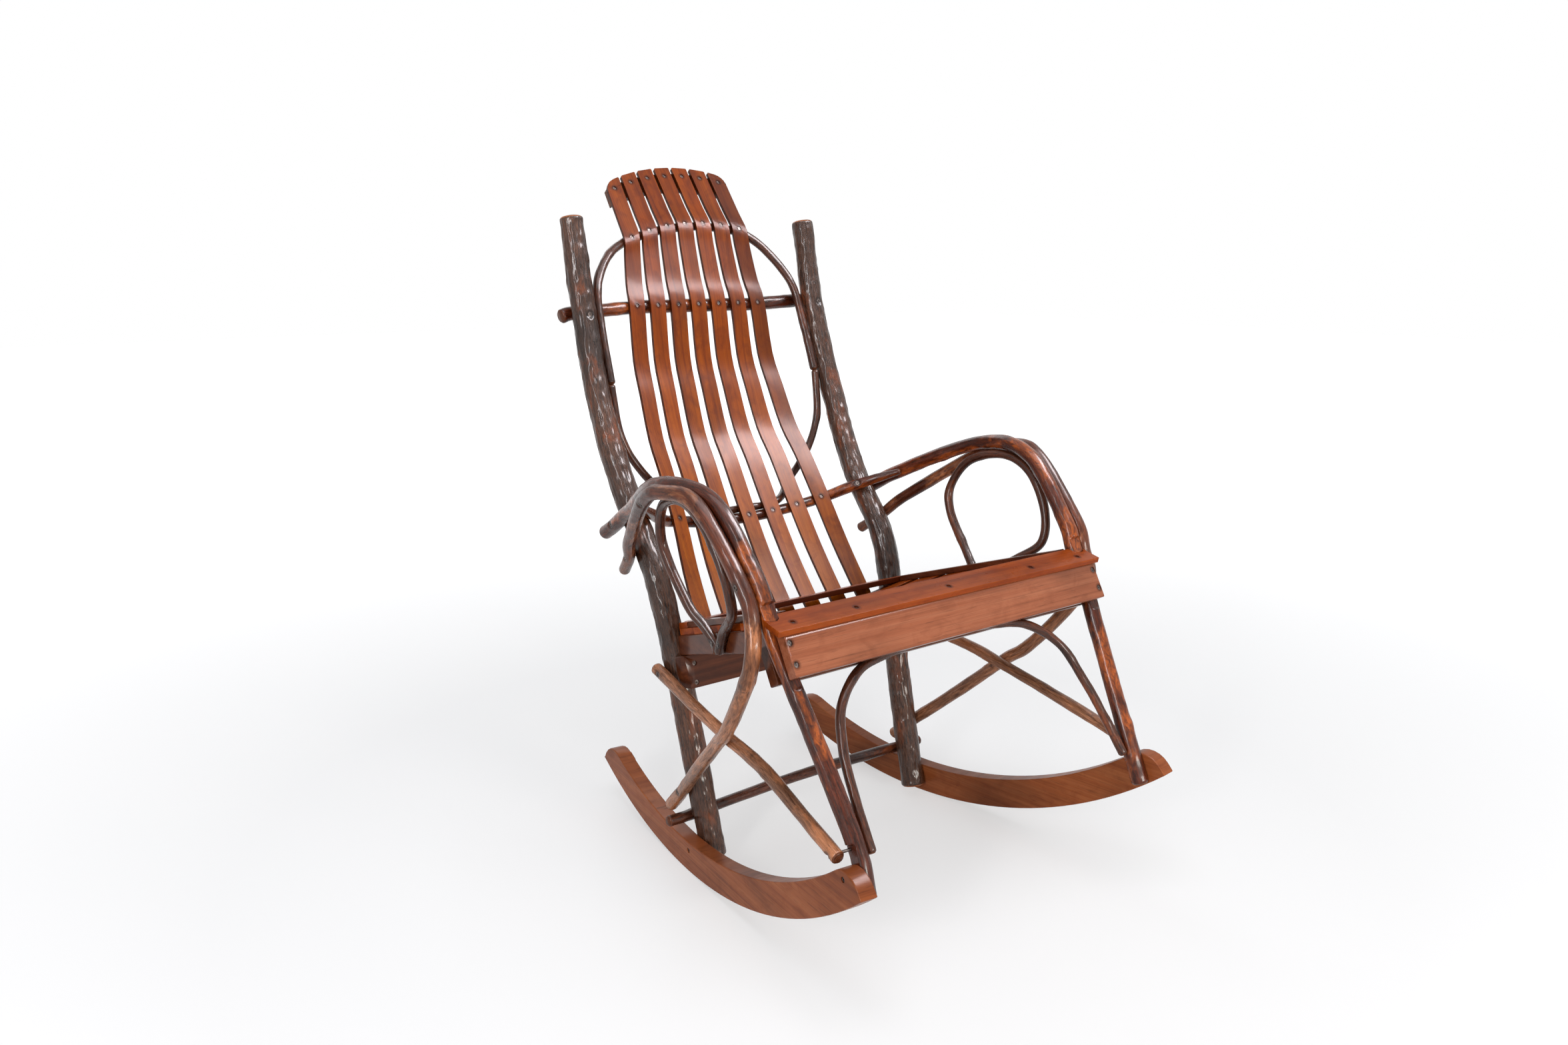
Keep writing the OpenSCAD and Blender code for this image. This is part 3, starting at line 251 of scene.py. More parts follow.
def bow_route():
    top, foot = post(517), post(132)
    beside_arm = apart(ARM_DIAMETER, BOW_DIAMETER)
    beside_leg = apart(LEG_DIAMETER, BOW_DIAMETER)
    return [
        (top[X] + 14, top[Y] + 55, 475, BOW_END_DIAMETER),
        moved(top, apart(POST_DIAMETER, BOW_END_DIAMETER), (0.955, 0.24, -0.18), BOW_END_DIAMETER),
        (305, 88, 551, BOW_LOW_DIAMETER),
        moved(arm(-51), beside_arm + 0.8, (0.747, -0.04, -0.664), BOW_DIAMETER),
        (arm(-120)[X] + beside_arm + 1, -120, arm(-120)[Z] - 6, BOW_DIAMETER),
        (arm(-193)[X] + beside_arm + 0.3, -190, arm(-193)[Z] - 3, BOW_DIAMETER),
        (arm(-283)[X] + beside_leg, -283, 567, BOW_DIAMETER),
        (leg(517)[X] + beside_leg, -307, 517, BOW_DIAMETER),
        (352, -311, 452, BOW_DIAMETER),
        (328, -221, 331, BOW_LOW_DIAMETER),
        (292 + apart(BRACE_DIAMETER, BOW_LOW_DIAMETER), -173, 290, BOW_LOW_DIAMETER),
        (293, -88, 214, BOW_LOW_DIAMETER),
        (foot[X] + apart(POST_DIAMETER, BOW_LOW_DIAMETER), foot[Y] + 4, 132, BOW_LOW_DIAMETER),
        (256, 58, 84, BOW_LOW_DIAMETER)]


def ring_route():
    def beside_rail(y):
        return rail_x(y) + RING_DIAMETER / 2 + 2 * FIT

    return [(x, y, z, RING_DIAMETER) for x, y, z in (
        (beside_rail(-137), -137, 414.8),
        (beside_rail(-126), -126, 428),
        (291, -104, 452),
        (300, -78, 477),
        (306, -30, 540),
        (314, -22, 586),
        (328, -55, 636),
        (arm(-126)[X], -126, arm(-126)[Z] - apart(ARM_DIAMETER, RING_DIAMETER)),
        (343, -185, 631),
        (338, -226, 571),
        (327, -232, 516),
        (307, -197, 484),
        (beside_rail(-163), -163, 459),
        (beside_rail(-149), -149, 434),
        (beside_rail(-142), -141.5, 416.8))]


def front_hoop_route():
    """Lies in the front rail's plane at the top and bends back to the legs' inner sides."""
    end_x = leg(222)[X] - apart(LEG_FOOT_DIAMETER, FRONT_HOOP_DIAMETER)
    full_out = FRONT_RAIL_FRONT + FRONT_HOOP_DIAMETER / 2 + FIT
    # X, height, and the share of the way out to the rail's plane
    marks = [
        (-end_x, 220, 0), (-268, 282, 0.2), (-262, 338, 0.5), (-241, 392, 0.8), (-186, 430, 1),
        (-104, 442, 1), (-12, 446, 1), (80, 442, 1),
        (160, 429, 1), (216, 391, 0.8), (239, 338, 0.5), (255, 282, 0.2), (end_x, 220, 0)]
    route = []
    for x, z, share in marks:
        out = full_out * share
        up = (z - LEG_PLACE_Z - out * math.sin(LEG_RAKE)) / math.cos(LEG_RAKE)
        route.append((*leg_place(x, up, out), FRONT_HOOP_DIAMETER))
    return route


def stretcher_route():
    y = behind_post(STRETCHER_HEIGHT, STRETCHER_DIAMETER)
    return mirrored((0, y + 1, STRETCHER_HEIGHT + STRETCHER_RISE, STRETCHER_DIAMETER), [
        (post(STRETCHER_HEIGHT)[X], y, STRETCHER_HEIGHT, STRETCHER_DIAMETER),
        (STRETCHER_HALF_LENGTH, y, STRETCHER_HEIGHT, STRETCHER_DIAMETER)])


def slat_foot_y(z):
    return post(z)[Y] - (POST_DIAMETER - SLAT_THICKNESS) / 2 / LEAN


# Rows up the outer back slats: y, z, hollow of the back there, and x
SLAT_ROWS = [
    (slat_foot_y(308), 308, 0, 181),
    (slat_foot_y(338), 338, 0, 179),
    (55, 372, 6, 177),
    (77.5, 404, 12, 174.5),
    (123, 472, 19, 168),
    (169.6, 553, 25, 159.5),
    (219, 629, 22, 154),
    (258, 681, 18, 149),
    (294, 757, 12, 143),
    (320, 816, 7, 139),
    (338.3, 912.8, 3, 134),
    (355, 954, 3, 129),
    (370, 1011, 6, 122),
    (376.4, 1042, 8, 119),
    (399.5, 1073, 10.5, 117),
    (441, 1129.5, 12.7, 115)]
SLAT_CURVE = smooth_curve(np.array(SLAT_ROWS, float), SLAT_CURVE_STEPS, SLAT_CURVE_STEPS + 1)


def arch_share(z):
    """How much of the top's arch and slant there is at a height."""
    return min(1, max(0, (z - ARCH_START) / ARCH_SPAN))


def back_place(u, row):
    """Place on the back at u of -1 to 1 across it, on a row."""
    y, z, hollow, x = row
    rise = CREST_ARCH * (1 - u * u) + CREST_SLANT * u
    return np.array([u * x, y + hollow * (1 - u * u), z + arch_share(z) * rise])


def behind_rows(u, low, row, high, diameter):
    """Route point of a stick behind the back, on a row between a lower and a higher one."""
    up = unit(back_place(u, high) - back_place(u, low))
    _, z, hollow, x = row
    arch = arch_share(z)
    across = np.array([1, -2 * hollow * u / x, arch * (CREST_SLANT - 2 * CREST_ARCH * u) / x])
    rear = np.cross(up, unit(across - (across @ up) * up))
    return moved(back_place(u, row), apart(SLAT_THICKNESS, diameter), rear, diameter)


def behind_back(u, row, diameter):
    low, middle, high = SLAT_CURVE[row * SLAT_CURVE_STEPS - 1:row * SLAT_CURVE_STEPS + 2]
    return behind_rows(u, low, middle, high, diameter)


def row_at(z):
    """Row of the back at a height."""
    return [np.interp(z, SLAT_CURVE[:, 1], column) for column in SLAT_CURVE.T]


def cross_bow_place(u):
    """Route point of the cross bow behind the back, where it sags towards its middle."""
    z = CROSS_BOW_HEIGHT - CROSS_BOW_SAG * (1 - u * u)
    low, middle, high = (row_at(z + step) for step in (-ROW_STEP, 0, ROW_STEP))
    return behind_rows(u, low, middle, high, CROSS_BOW_DIAMETER)


def mid_rod_route():
    """Runs down a little towards its left end."""
    def at_post(side, z):
        return (side * post(z)[X], behind_post(z, MID_ROD_DIAMETER), z, MID_ROD_DIAMETER)

    def end(side, z):
        return (side * MID_ROD_HALF_LENGTH, behind_post(z, MID_ROD_DIAMETER) + 1, z, MID_ROD_DIAMETER)

    return ([end(-1, 897), at_post(-1, 903)]
            + [behind_back(k / 3, MID_ROD_ROW, MID_ROD_DIAMETER) for k in range(-3, 4)]
            + [at_post(1, 914), end(1, 917)])


def upper_hoop_route():
    def half(side):
        joint = inside_post(HOOP_JOINT_HEIGHT, UPPER_HOOP_DIAMETER)
        return [(x, y, z, UPPER_HOOP_DIAMETER) for x, y, z in (
            (side * 175, 364, 1005 + CREST_SLANT * side / 2),
            (side * 214, 335, 950),
            (side * (inside_post(877, UPPER_HOOP_DIAMETER) - 0.5), 309, 877),
            (side * joint, post(HOOP_JOINT_HEIGHT)[Y] + 1, HOOP_JOINT_HEIGHT + FIT))]

    across = (-1.13, -1, -2 / 3, -1 / 3, 0, 1 / 3, 2 / 3, 1, 1.13)
    return half(-1)[::-1] + [behind_back(u, HOOP_ROW, UPPER_HOOP_DIAMETER) for u in across] + half(1)


def cross_bow_route():
    return mirrored(cross_bow_place(0), [cross_bow_place(u) for u in (1 / 3, 2 / 3, 1, 1.12)] + [
        moved(post(561), -apart(POST_DIAMETER, CROSS_BOW_DIAMETER), (0.73, 0.55, -0.39), CROSS_BOW_DIAMETER),
        moved(arm(82), -apart(ARM_DIAMETER, CROSS_BOW_TIP_DIAMETER), (0.97, 0.05, 0.22),
              CROSS_BOW_TIP_DIAMETER)])


def lower_hoop_route():
    """Rests on the cross bow."""
    def on_bow(u, share):
        rest = share * apart(CROSS_BOW_DIAMETER, LOWER_HOOP_DIAMETER)
        return moved(np.array(cross_bow_place(u)), rest, (0, 0.53, 0.85), LOWER_HOOP_DIAMETER)

    d = LOWER_HOOP_DIAMETER
    joint = HOOP_JOINT_HEIGHT - 2
    return mirrored(on_bow(0, 1.03), [
        on_bow(0.48, 1.12),
        (135, 238, 578, d),
        (189, 249, 632, d),
        (inside_post(697, d) - 6, 259, 697, d),
        (inside_post(joint, d), post(joint)[Y] + 1, HOOP_JOINT_HEIGHT - FIT, d)])


# Routes as (x, y, z, diameter), to a tenth of a millimetre
ROUTES = {name: np.round(np.array(route, float), 1) for name, route in {
    "post": post_route(),
    "arm": arm_route(),
    "bow": bow_route(),
    "ring": ring_route(),
    "brace": brace_route(),
    "front_hoop": front_hoop_route(),
    "mid_rod": mid_rod_route(),
    "upper_hoop": upper_hoop_route(),
    "lower_hoop": lower_hoop_route(),
    "cross_bow": cross_bow_route(),
    "stretcher": stretcher_route(),
}.items()}

FIRST_HALF, LAST_HALF, BOTH_HALVES = 0, 1, 2
FOOT_FLAT_REACH = 75
APRON_FLAT_REACH = 62
RAIL_FLAT_REACH = 50
RING_FLAT_REACH = 28


def flat(place, way, reach, half):
    """Flat cut into a stick: place, outward direction, reach, and the half of the stick that has it."""
    return np.round(np.array(place, float), 1), np.round(unit(np.array(way, float)), 3), reach, half


def foot_flat(y, z):
    """Flat of a foot against the inner side of the rocker."""
    return flat((rocker_x(y) - FIT, y, z), (1, math.tan(ROCKER_TOE_IN), 0), FOOT_FLAT_REACH, FIRST_HALF)


def leg_flats():
    """Flats against the rocker, the apron's back and the front rail's front."""
    rearward = np.array([0, math.cos(LEG_RAKE), -math.sin(LEG_RAKE)])
    return [
        foot_flat(LEG_FOOT_Y, LEG_FOOT_HEIGHT),
        flat(leg_place(leg(482)[X], 7, APRON_BACK - FIT), -rearward, APRON_FLAT_REACH, BOTH_HALVES),
        flat(leg_place(leg(459)[X], -18, FRONT_RAIL_FRONT + FIT), rearward, RAIL_FLAT_REACH, BOTH_HALVES)]


def ring_flats():
    """Mitre in which the ring's two ends meet against the side rail."""
    mitre = unit(np.array([0, 0.93, 0.13]))
    tip = np.array([rail_x(RING_TIP_Y), RING_TIP_Y, RING_TIP_HEIGHT])
    return [
        flat(tip - FIT / 2 * mitre, mitre, RING_FLAT_REACH, LAST_HALF),
        flat(tip + FIT / 2 * mitre, -mitre, RING_FLAT_REACH, FIRST_HALF)]


FLATS = {"post": [foot_flat(POST_FOOT_Y, POST_FOOT_HEIGHT)], "arm": leg_flats(), "ring": ring_flats()}


# Node trees

class Tree:
    """Small helper for building a material."""

    def __init__(self, name):
        self.mat = bpy.data.materials.new(name)
        self.mat.use_nodes = True
        self.tree = self.mat.node_tree
        self.tree.nodes.clear()
        self.out = self.node("ShaderNodeOutputMaterial")
        self.bsdf = self.node("ShaderNodeBsdfPrincipled")
        self.link(self.bsdf.outputs[0], self.out.inputs[0])

    def node(self, kind, **props):
        n = self.tree.nodes.new(kind)
        for key, value in props.items():
            setattr(n, key, value)
        return n

    def link(self, a, b):
        self.tree.links.new(a, b)

    def fill(self, value, socket):
        """Sets a number or colour on the socket itself and links anything else."""
        if isinstance(value, (float, int)):
            socket.default_value = value
        elif isinstance(value, tuple):
            socket.default_value = (*value, 1.0)
        else:
            self.link(value, socket)

    def place(self):
        return self.node("ShaderNodeTexCoord").outputs["Object"]

    def attribute(self, name, output):
        return self.node("ShaderNodeAttribute", attribute_name=name).outputs[output]

    def split(self, vector):
        n = self.node("ShaderNodeSeparateXYZ")
        self.link(vector, n.inputs[0])
        return n.outputs

    def scaled(self, vector, scale, shift=(0, 0, 0)):
        n = self.node("ShaderNodeMapping")
        n.inputs["Scale"].default_value = scale
        n.inputs["Location"].default_value = shift
        self.link(vector, n.inputs["Vector"])
        return n.outputs[0]

    def pattern(self, vector, kind, along=(Z,), fine=1.0, shift=(0, 0, 0)):
        """Noise drawn out along some axes."""
        across, run, detail, rough, distortion = kind
        scale = tuple(fine * (run if k in along else across) for k in (X, Y, Z))
        n = self.node("ShaderNodeTexNoise")
        n.inputs["Scale"].default_value = 1.0
        n.inputs["Detail"].default_value = detail
        n.inputs["Roughness"].default_value = rough
        n.inputs["Distortion"].default_value = distortion
        self.link(self.scaled(vector, scale, shift), n.inputs["Vector"])
        return n.outputs["Fac"]

    def ramp(self, fac, stops):
        n = self.node("ShaderNodeValToRGB")
        el = n.color_ramp.elements
        while len(el) < len(stops):
            el.new(0.5)
        for e, (pos, col) in zip(el, stops):
            e.position = pos
            e.color = (*col, 1.0) if isinstance(col, tuple) else (col, col, col, 1.0)
        self.link(fac, n.inputs[0])
        return n.outputs["Color"]

    def mix(self, fac, a, b, blend="MIX"):
        n = self.node("ShaderNodeMix", data_type="RGBA", blend_type=blend)
        self.fill(fac, n.inputs[0])
        self.fill(a, n.inputs[6])
        self.fill(b, n.inputs[7])
        return n.outputs[2]

    def times(self, a, b):
        """Product of two colours."""
        return self.mix(1.0, a, b, "MULTIPLY")

    def math(self, op, a, b):
        n = self.node("ShaderNodeMath", operation=op)
        self.fill(a, n.inputs[0])
        self.fill(b, n.inputs[1])
        return n.outputs[0]

    def bump(self, height, strength, distance, normal=None):
        n = self.node("ShaderNodeBump")
        n.inputs["Strength"].default_value = strength
        n.inputs["Distance"].default_value = distance
        self.link(height, n.inputs["Height"])
        if normal is not None:
            self.link(normal, n.inputs["Normal"])
        return n.outputs[0]

    def near(self, place, points):
        """Distance to the nearest of some fixed points, in metres."""
        least = None
        for point in points:
            n = self.node("ShaderNodeVectorMath", operation="DISTANCE")
            self.link(place, n.inputs[0])
            n.inputs[1].default_value = tuple(float(c) * MM for c in point)
            away = n.outputs["Value"]
            least = away if least is None else self.math("MINIMUM", least, away)
        return least

    def finish(self, colour, rough, normal, coat, coat_rough, specular, metallic=0.0):
        b = self.bsdf.inputs
        self.fill(colour, b["Base Color"])
        self.fill(rough, b["Roughness"])
        if normal is not None:
            self.link(normal, b["Normal"])
        b["Coat Weight"].default_value = coat
        b["Coat Roughness"].default_value = coat_rough
        b["Specular IOR Level"].default_value = specular
        b["Metallic"].default_value = metallic
        return self.mat


def shaded(colour, factor):
    return tuple(c * factor for c in colour)


# Varnished boards
# A pattern is its scale across the grain, its scale along the grain, detail, roughness and distortion
GRAIN = (85.0, 1.6, 6.0, 0.62, 0.25)
FINE_LINES = (620.0, 6.0, 3.0, 0.6, 0.0)
PORES = (900.0, 26.0, 2.0, 0.5, 0.0)
BOARD_TONE = (14.0, 5.0, 3.0, 0.5, 0.3)
FIGURE = (42.0, 26.0, 5.0, 0.62, 0.8)
# Where the dark, the middle and the light shade lie in the grain
GRAIN_STOPS = (0.22, 0.48, 0.78)
# Shades laid over the grain: place in the pattern and brightness there
BOARD_TONE_SHADES = [(0.28, 0.66), (0.5, 1.0), (0.75, 1.12)]
LINE_SHADES = [(0.34, 0.80), (0.52, 1.0)]
PORE_SHADES = [(0.28, 0.62), (0.36, 1.0)]
# Dark blotches of the stain
BLOTCH_SPREAD = [(0.30, 1.0), (0.52, 0.0)]
BLOTCH_SHADE = 0.75
# Painted shade on the faces turned along one axis, and a dark ring round the screws that is stain and
# painted shade in the hole; distances in millimetres
STAIN_AND_SHADE_DARKNESS = 0.30
SIDE_SHADE_SPREAD = [(0.30, 0.0), (0.85, 0.9)]
HALO_REACH = 20.0
HALO_CORE = 4.6
HALO_EDGE = 8.5
HALO_SPREAD = [(HALO_CORE / HALO_REACH, 0.9), (HALO_EDGE / HALO_REACH, 0.0)]
HALO_BREAKS = [(0.30, 1.0), (0.72, 0.75)]
# Where the varnish is duller and glossier than the board's own roughness
BOARD_DULLER, BOARD_GLOSSIER = 0.07, 0.05
BOARD_BUMP = 0.06
LINE_DEPTH = 0.0003
GRAIN_DEPTH = 0.0006
BOARD_SPECULAR = 0.05


def board_wood(name, along, shades, shaded_side_axis=None, flat_axis=None, shift=(0, 0, 0), gloss=0.3, blotches=0.5,
               coat=0.3, coat_rough=0.14, heads=(), fade=()):
    """Varnished board: straight grain, pores, blotches, painted shade on the faces turned along one axis,
    and stain with painted shade round the screws.
    """
    t = Tree(name)
    place = t.place()
    grain, lines, pores, tone, figure = (
        t.pattern(place, kind, (along, flat_axis), shift=shift)
        for kind in (GRAIN, FINE_LINES, PORES, BOARD_TONE, FIGURE))
    dark = shades[0]
    deep = shaded(dark, STAIN_AND_SHADE_DARKNESS)
    colour = t.ramp(grain, list(zip(GRAIN_STOPS, shades)))
    colour = t.times(colour, t.ramp(tone, BOARD_TONE_SHADES))
    blotch = t.math("MULTIPLY", t.ramp(figure, BLOTCH_SPREAD), blotches)
    colour = t.mix(blotch, colour, t.mix(BLOTCH_SHADE, colour, dark))
    colour = t.times(colour, t.ramp(lines, LINE_SHADES))
    colour = t.times(colour, t.ramp(pores, PORE_SHADES))
    # Painted shade: darker towards the top, by height, where the light is weaker
    if fade:
        colour = t.times(colour, t.ramp(t.split(place)[Z], fade))
    # Painted shade: faces turned along one axis, such as the sides between neighbouring boards, are darkened
    if shaded_side_axis is not None:
        normal = t.node("ShaderNodeNewGeometry").outputs["Normal"]
        side = t.math("ABSOLUTE", t.split(normal)[shaded_side_axis], 0.0)
        colour = t.mix(t.ramp(side, SIDE_SHADE_SPREAD), colour, deep)
    # Dark ring round each screw: stain, and painted shade in the screw's hole, broken up by the figure
    if len(heads):
        halo = t.ramp(t.math("MULTIPLY", t.near(place, heads), 1.0 / (HALO_REACH * MM)), HALO_SPREAD)
        colour = t.mix(t.times(halo, t.ramp(figure, HALO_BREAKS)), colour, deep)
    rough = t.ramp(figure, [(0.3, gloss + BOARD_DULLER), (0.7, gloss - BOARD_GLOSSIER)])
    normal = t.bump(lines, BOARD_BUMP, LINE_DEPTH, t.bump(grain, BOARD_BUMP, GRAIN_DEPTH))
    return t.finish(colour, rough, normal, coat, coat_rough, BOARD_SPECULAR)


# Varnished bark
# A pattern is its scale round the stick, its scale along the stick, detail, roughness and distortion
STRANDS = (420, 46, 5.0, 0.66, 0.8)
FLAKES = (150, 60, 5.0, 0.62, 1.0)
PATCHES = (24, 9, 4.0, 0.62, 0.5)
BARK_TONE = (11, 5, 3.0, 0.5, 0.0)
SPECKS = (900, 420, 2.0, 0.5, 0.0)
STRAND_STOPS = (0.34, 0.52, 0.70)
STRAND_LIGHT = 1.8
BARK_TONE_SHADES = [(0.32, 0.42), (0.64, 1.35)]
# Darker and redder above the seat's rail, by height in metres
DEEPER_ABOVE = [(0.30, 1.0), (0.55, (0.28, 0.15, 0.11))]
WEAR_WIDTH = 0.12
WEAR_BREAKS = [(0.36, 0.1), (0.6, 1.0)]
SPECK_SPREAD = [(0.58, 0.0), (0.70, 1.0)]
SPECK_STRENGTH = 0.45
KNOT_AND_SEAT_STRENGTH = 0.8
KNOT_AND_SEAT_DARKNESS = 0.4
BARK_DULLER, BARK_GLOSSIER = 0.14, 0.05
STRAND_DEPTH = 0.0011
FLAKE_BUMP = 0.45
FLAKE_DEPTH = 0.0012
BARK_COAT_ROUGHNESS = 0.15
BARK_SPECULAR = 0.15


def bark(name, base, dark, worn, fine, worn_level, gloss, coat, ridge_bump, deeper_above=False):
    """Varnished bark: straightened coordinates run round and along each stick."""
    t = Tree(name)
    flow = t.attribute("flow", "Vector")
    strands = t.pattern(flow, STRANDS, fine=fine)
    flakes, patches, tone, specks = (t.pattern(flow, kind) for kind in (FLAKES, PATCHES, BARK_TONE, SPECKS))
    light = tuple(min(1.0, STRAND_LIGHT * c) for c in base)
    colour = t.ramp(strands, list(zip(STRAND_STOPS, (dark, base, light))))
    colour = t.times(colour, t.ramp(tone, BARK_TONE_SHADES))
    if deeper_above:
        colour = t.times(colour, t.ramp(t.split(t.place())[Z], DEEPER_ABOVE))
    wear = t.ramp(patches, [(worn_level, 0.0), (worn_level + WEAR_WIDTH, 1.0)])
    colour = t.mix(t.times(wear, t.ramp(flakes, WEAR_BREAKS)), colour, worn)
    colour = t.mix(t.math("MULTIPLY", t.ramp(specks, SPECK_SPREAD), SPECK_STRENGTH), colour, dark)
    # Darkens the knots' scars, and round the screws the stain and painted shade in the seats
    knot_and_seat_mark = t.math("MULTIPLY", t.attribute("scar", "Fac"), KNOT_AND_SEAT_STRENGTH)
    colour = t.mix(knot_and_seat_mark, colour, shaded(dark, KNOT_AND_SEAT_DARKNESS))
    rough = t.ramp(flakes, [(0.35, gloss + BARK_DULLER), (0.65, gloss - BARK_GLOSSIER)])
    normal = t.bump(strands, ridge_bump, STRAND_DEPTH, t.bump(flakes, FLAKE_BUMP, FLAKE_DEPTH))
    return t.finish(colour, rough, normal, coat, BARK_COAT_ROUGHNESS, BARK_SPECULAR)


RING_SCALE = 90.0
RING_DISTORTION = 2.5
RING_DETAIL = 3.0
RING_STRETCH = (1, 1, 0.02)
RING_BUMP, RING_DEPTH = 0.3, 0.0006
END_SPOTS = (120, 20, 5.0, 0.6, 0.0)
END_SPOT_SPREAD = [(0.35, 0.0), (0.65, 0.8)]
END_ROUGHNESS = 0.40


def end_grain(name, dark, light):
    """Cut end of a stick: rings round the heart and lighter spots."""
    t = Tree(name)
    flow = t.attribute("flow", "Vector")
    rings = t.node("ShaderNodeTexWave", wave_type="RINGS", rings_direction="Z")
    rings.inputs["Scale"].default_value = RING_SCALE
    rings.inputs["Distortion"].default_value = RING_DISTORTION
    rings.inputs["Detail"].default_value = RING_DETAIL
    t.link(t.scaled(flow, RING_STRETCH), rings.inputs["Vector"])
    spots = t.ramp(t.pattern(flow, END_SPOTS), END_SPOT_SPREAD)
    colour = t.mix(spots, t.mix(rings.outputs["Fac"], dark, light), light)
    normal = t.bump(rings.outputs["Fac"], RING_BUMP, RING_DEPTH)
    return t.finish(colour, END_ROUGHNESS, normal, coat=0.2, coat_rough=0.2, specular=0.08)


SCRATCHES = (700, 700, 4.0, 0.6, 0.0)
TARNISH = (220, 220, 2.0, 0.5, 0.0)
TARNISH_SPREAD = [(0.35, 0.0), (0.65, 1.0)]
STEEL_DARK = (0.035, 0.024, 0.020)
STEEL_LIGHT = (0.16, 0.13, 0.12)
STEEL_ROUGHNESS = [(0.3, 0.34), (0.7, 0.55)]
SCRATCH_BUMP, SCRATCH_DEPTH = 0.2, 0.0002


def steel(name):
    """Darkened screw steel with small scratches."""
    t = Tree(name)
    place = t.place()
    marks = t.pattern(place, SCRATCHES)
    tone = t.pattern(place, TARNISH)
    colour = t.mix(t.ramp(tone, TARNISH_SPREAD), STEEL_DARK, STEEL_LIGHT)
    normal = t.bump(marks, SCRATCH_BUMP, SCRATCH_DEPTH)
    return t.finish(colour, t.ramp(marks, STEEL_ROUGHNESS), normal, coat=0.0, coat_rough=0.1, specular=0.5,
                    metallic=0.8)


MATERIALS = {
    "post": bark(
        "post_bark", base=(0.066, 0.026, 0.013), dark=(0.010, 0.004, 0.002), worn=(0.24, 0.060, 0.018),
        fine=1.0, worn_level=0.56, gloss=0.28, coat=0.4, ridge_bump=1.0),
    "sapling": bark(
        "sapling_bark", base=(0.078, 0.014, 0.004), dark=(0.013, 0.003, 0.001), worn=(0.40, 0.092, 0.018),
        fine=0.8, worn_level=0.49, gloss=0.22, coat=0.32, ridge_bump=0.35),
    "light_sapling": bark(
        "light_sapling_bark", base=(0.340, 0.145, 0.072), dark=(0.120, 0.044, 0.019),
        worn=(0.50, 0.190, 0.080), fine=0.8, worn_level=0.54, gloss=0.28, coat=0.3, ridge_bump=0.35,
        deeper_above=True),
    "thin": bark(
        "thin_bark", base=(0.070, 0.021, 0.010), dark=(0.014, 0.005, 0.003), worn=(0.24, 0.060, 0.018),
        fine=0.9, worn_level=0.56, gloss=0.26, coat=0.35, ridge_bump=0.4),
    "cut": end_grain("cut_end", dark=(0.10, 0.028, 0.010), light=(0.38, 0.115, 0.030)),
    "cut_dark": end_grain("dark_cut_end", dark=(0.035, 0.011, 0.006), light=(0.13, 0.040, 0.016)),
    "steel": steel("screw_steel"),
}


# Screws of the frame

def loose_solids(node):
    """Vertices of each separate solid of a node, in millimetres."""
    mesh = frame["nodes"][node].data
    co = np.array([v.co for v in mesh.vertices], float) / MM
    parent = list(range(len(co)))

    def root(i):
        while parent[i] != i:
            parent[i] = parent[parent[i]]
            i = parent[i]
        return i

    first_at = {}
    for i, c in enumerate(np.round(co, 2)):
        j = first_at.setdefault(tuple(c), i)
        if j != i:
            parent[root(i)] = root(j)
    for e in mesh.edges:
        a, b = root(e.vertices[0]), root(e.vertices[1])
        if a != b:
            parent[a] = b
    groups = {}
    for i in range(len(co)):
        groups.setdefault(root(i), []).append(i)
    return [co[g] for g in groups.values()]


def screw_heads(node):
    """Middle of the top of each screw's head and its way in."""
    heads = []
    for co in loose_solids(node):
        middle = co.mean(0)
        way = np.linalg.svd(co - middle, full_matrices=False)[2][0]
        t = (co - middle) @ way
        r = np.linalg.norm(co - middle - np.outer(t, way), axis=1)
        if r[t > 0].max() > r[t < 0].max():
            way, t = -way, -t
        heads.append((middle + t.min() * way, way))
    return heads


# Sticks, in millimetres

CURVE_STEPS = 24
NEARLY_SIDEWAYS = 0.9
RING_SPACING = 2.6
FEWEST_RINGS = 8
# Slow swelling of the bark: height, cells round the stick, step along it
WIDE_SWELLING = (0.9, 3, 70)
SHORT_SWELLING = (0.5, 5, 30)
# Furrows and fine ridges of the bark
BARK_TWIST = 0.0012
FURROW_WIDTH = 6.5
FEWEST_FURROWS = 6
FURROW_STEP = 26
FURROW_SHARPNESS = 2.4
FURROW_HEIGHT = 0.42
FINE_STEP = 11
FINE_HEIGHT = 0.28
# Knots: ranges of place along the stick, direction, length, width and height, then the dent and the scar
KNOT_SPAN = (0.06, 0.94)
KNOT_FACING = (0, 6.28)
KNOT_LENGTH = (7, 12)
KNOT_WIDTH = (6, 10)
KNOT_HEIGHT = (0.8, 1.9)
KNOT_DENT = 1.0
KNOT_DENT_FALL = 6
KNOT_SCAR_FALL = 9
KNOT_COLLAR = 0.35
# Bark fades out towards the cut ends and is lower on thin sticks
END_FADE = 12
FULL_RELIEF_RADIUS = 22
MEAN_RELIEF = 0.5
SMALLEST_RADIUS = 1
END_BEVEL = 3.0
# Seats pressed in under the screw heads, with a dark ring that is stain and painted shade in the seat
STICK_HEADS = screw_heads("stick_screws") + screw_heads("arm_screws")
SEAT_RADIUS = 5.2
SEAT_SLOPE = 1.6
SEAT_DEPTH = 0.7
SEAT_REACH = 9
STAIN_AND_SHADE_RADIUS = 9.0
STAIN_AND_SHADE_SLOPE = 3.0
STAIN_AND_SHADE_STRENGTH = 0.9
# Each stick starts elsewhere in the bark's patterns
PATTERN_STEP = 900.0
PATTERN_STARTS = 17
SHARP_ANGLE = math.radians(55)


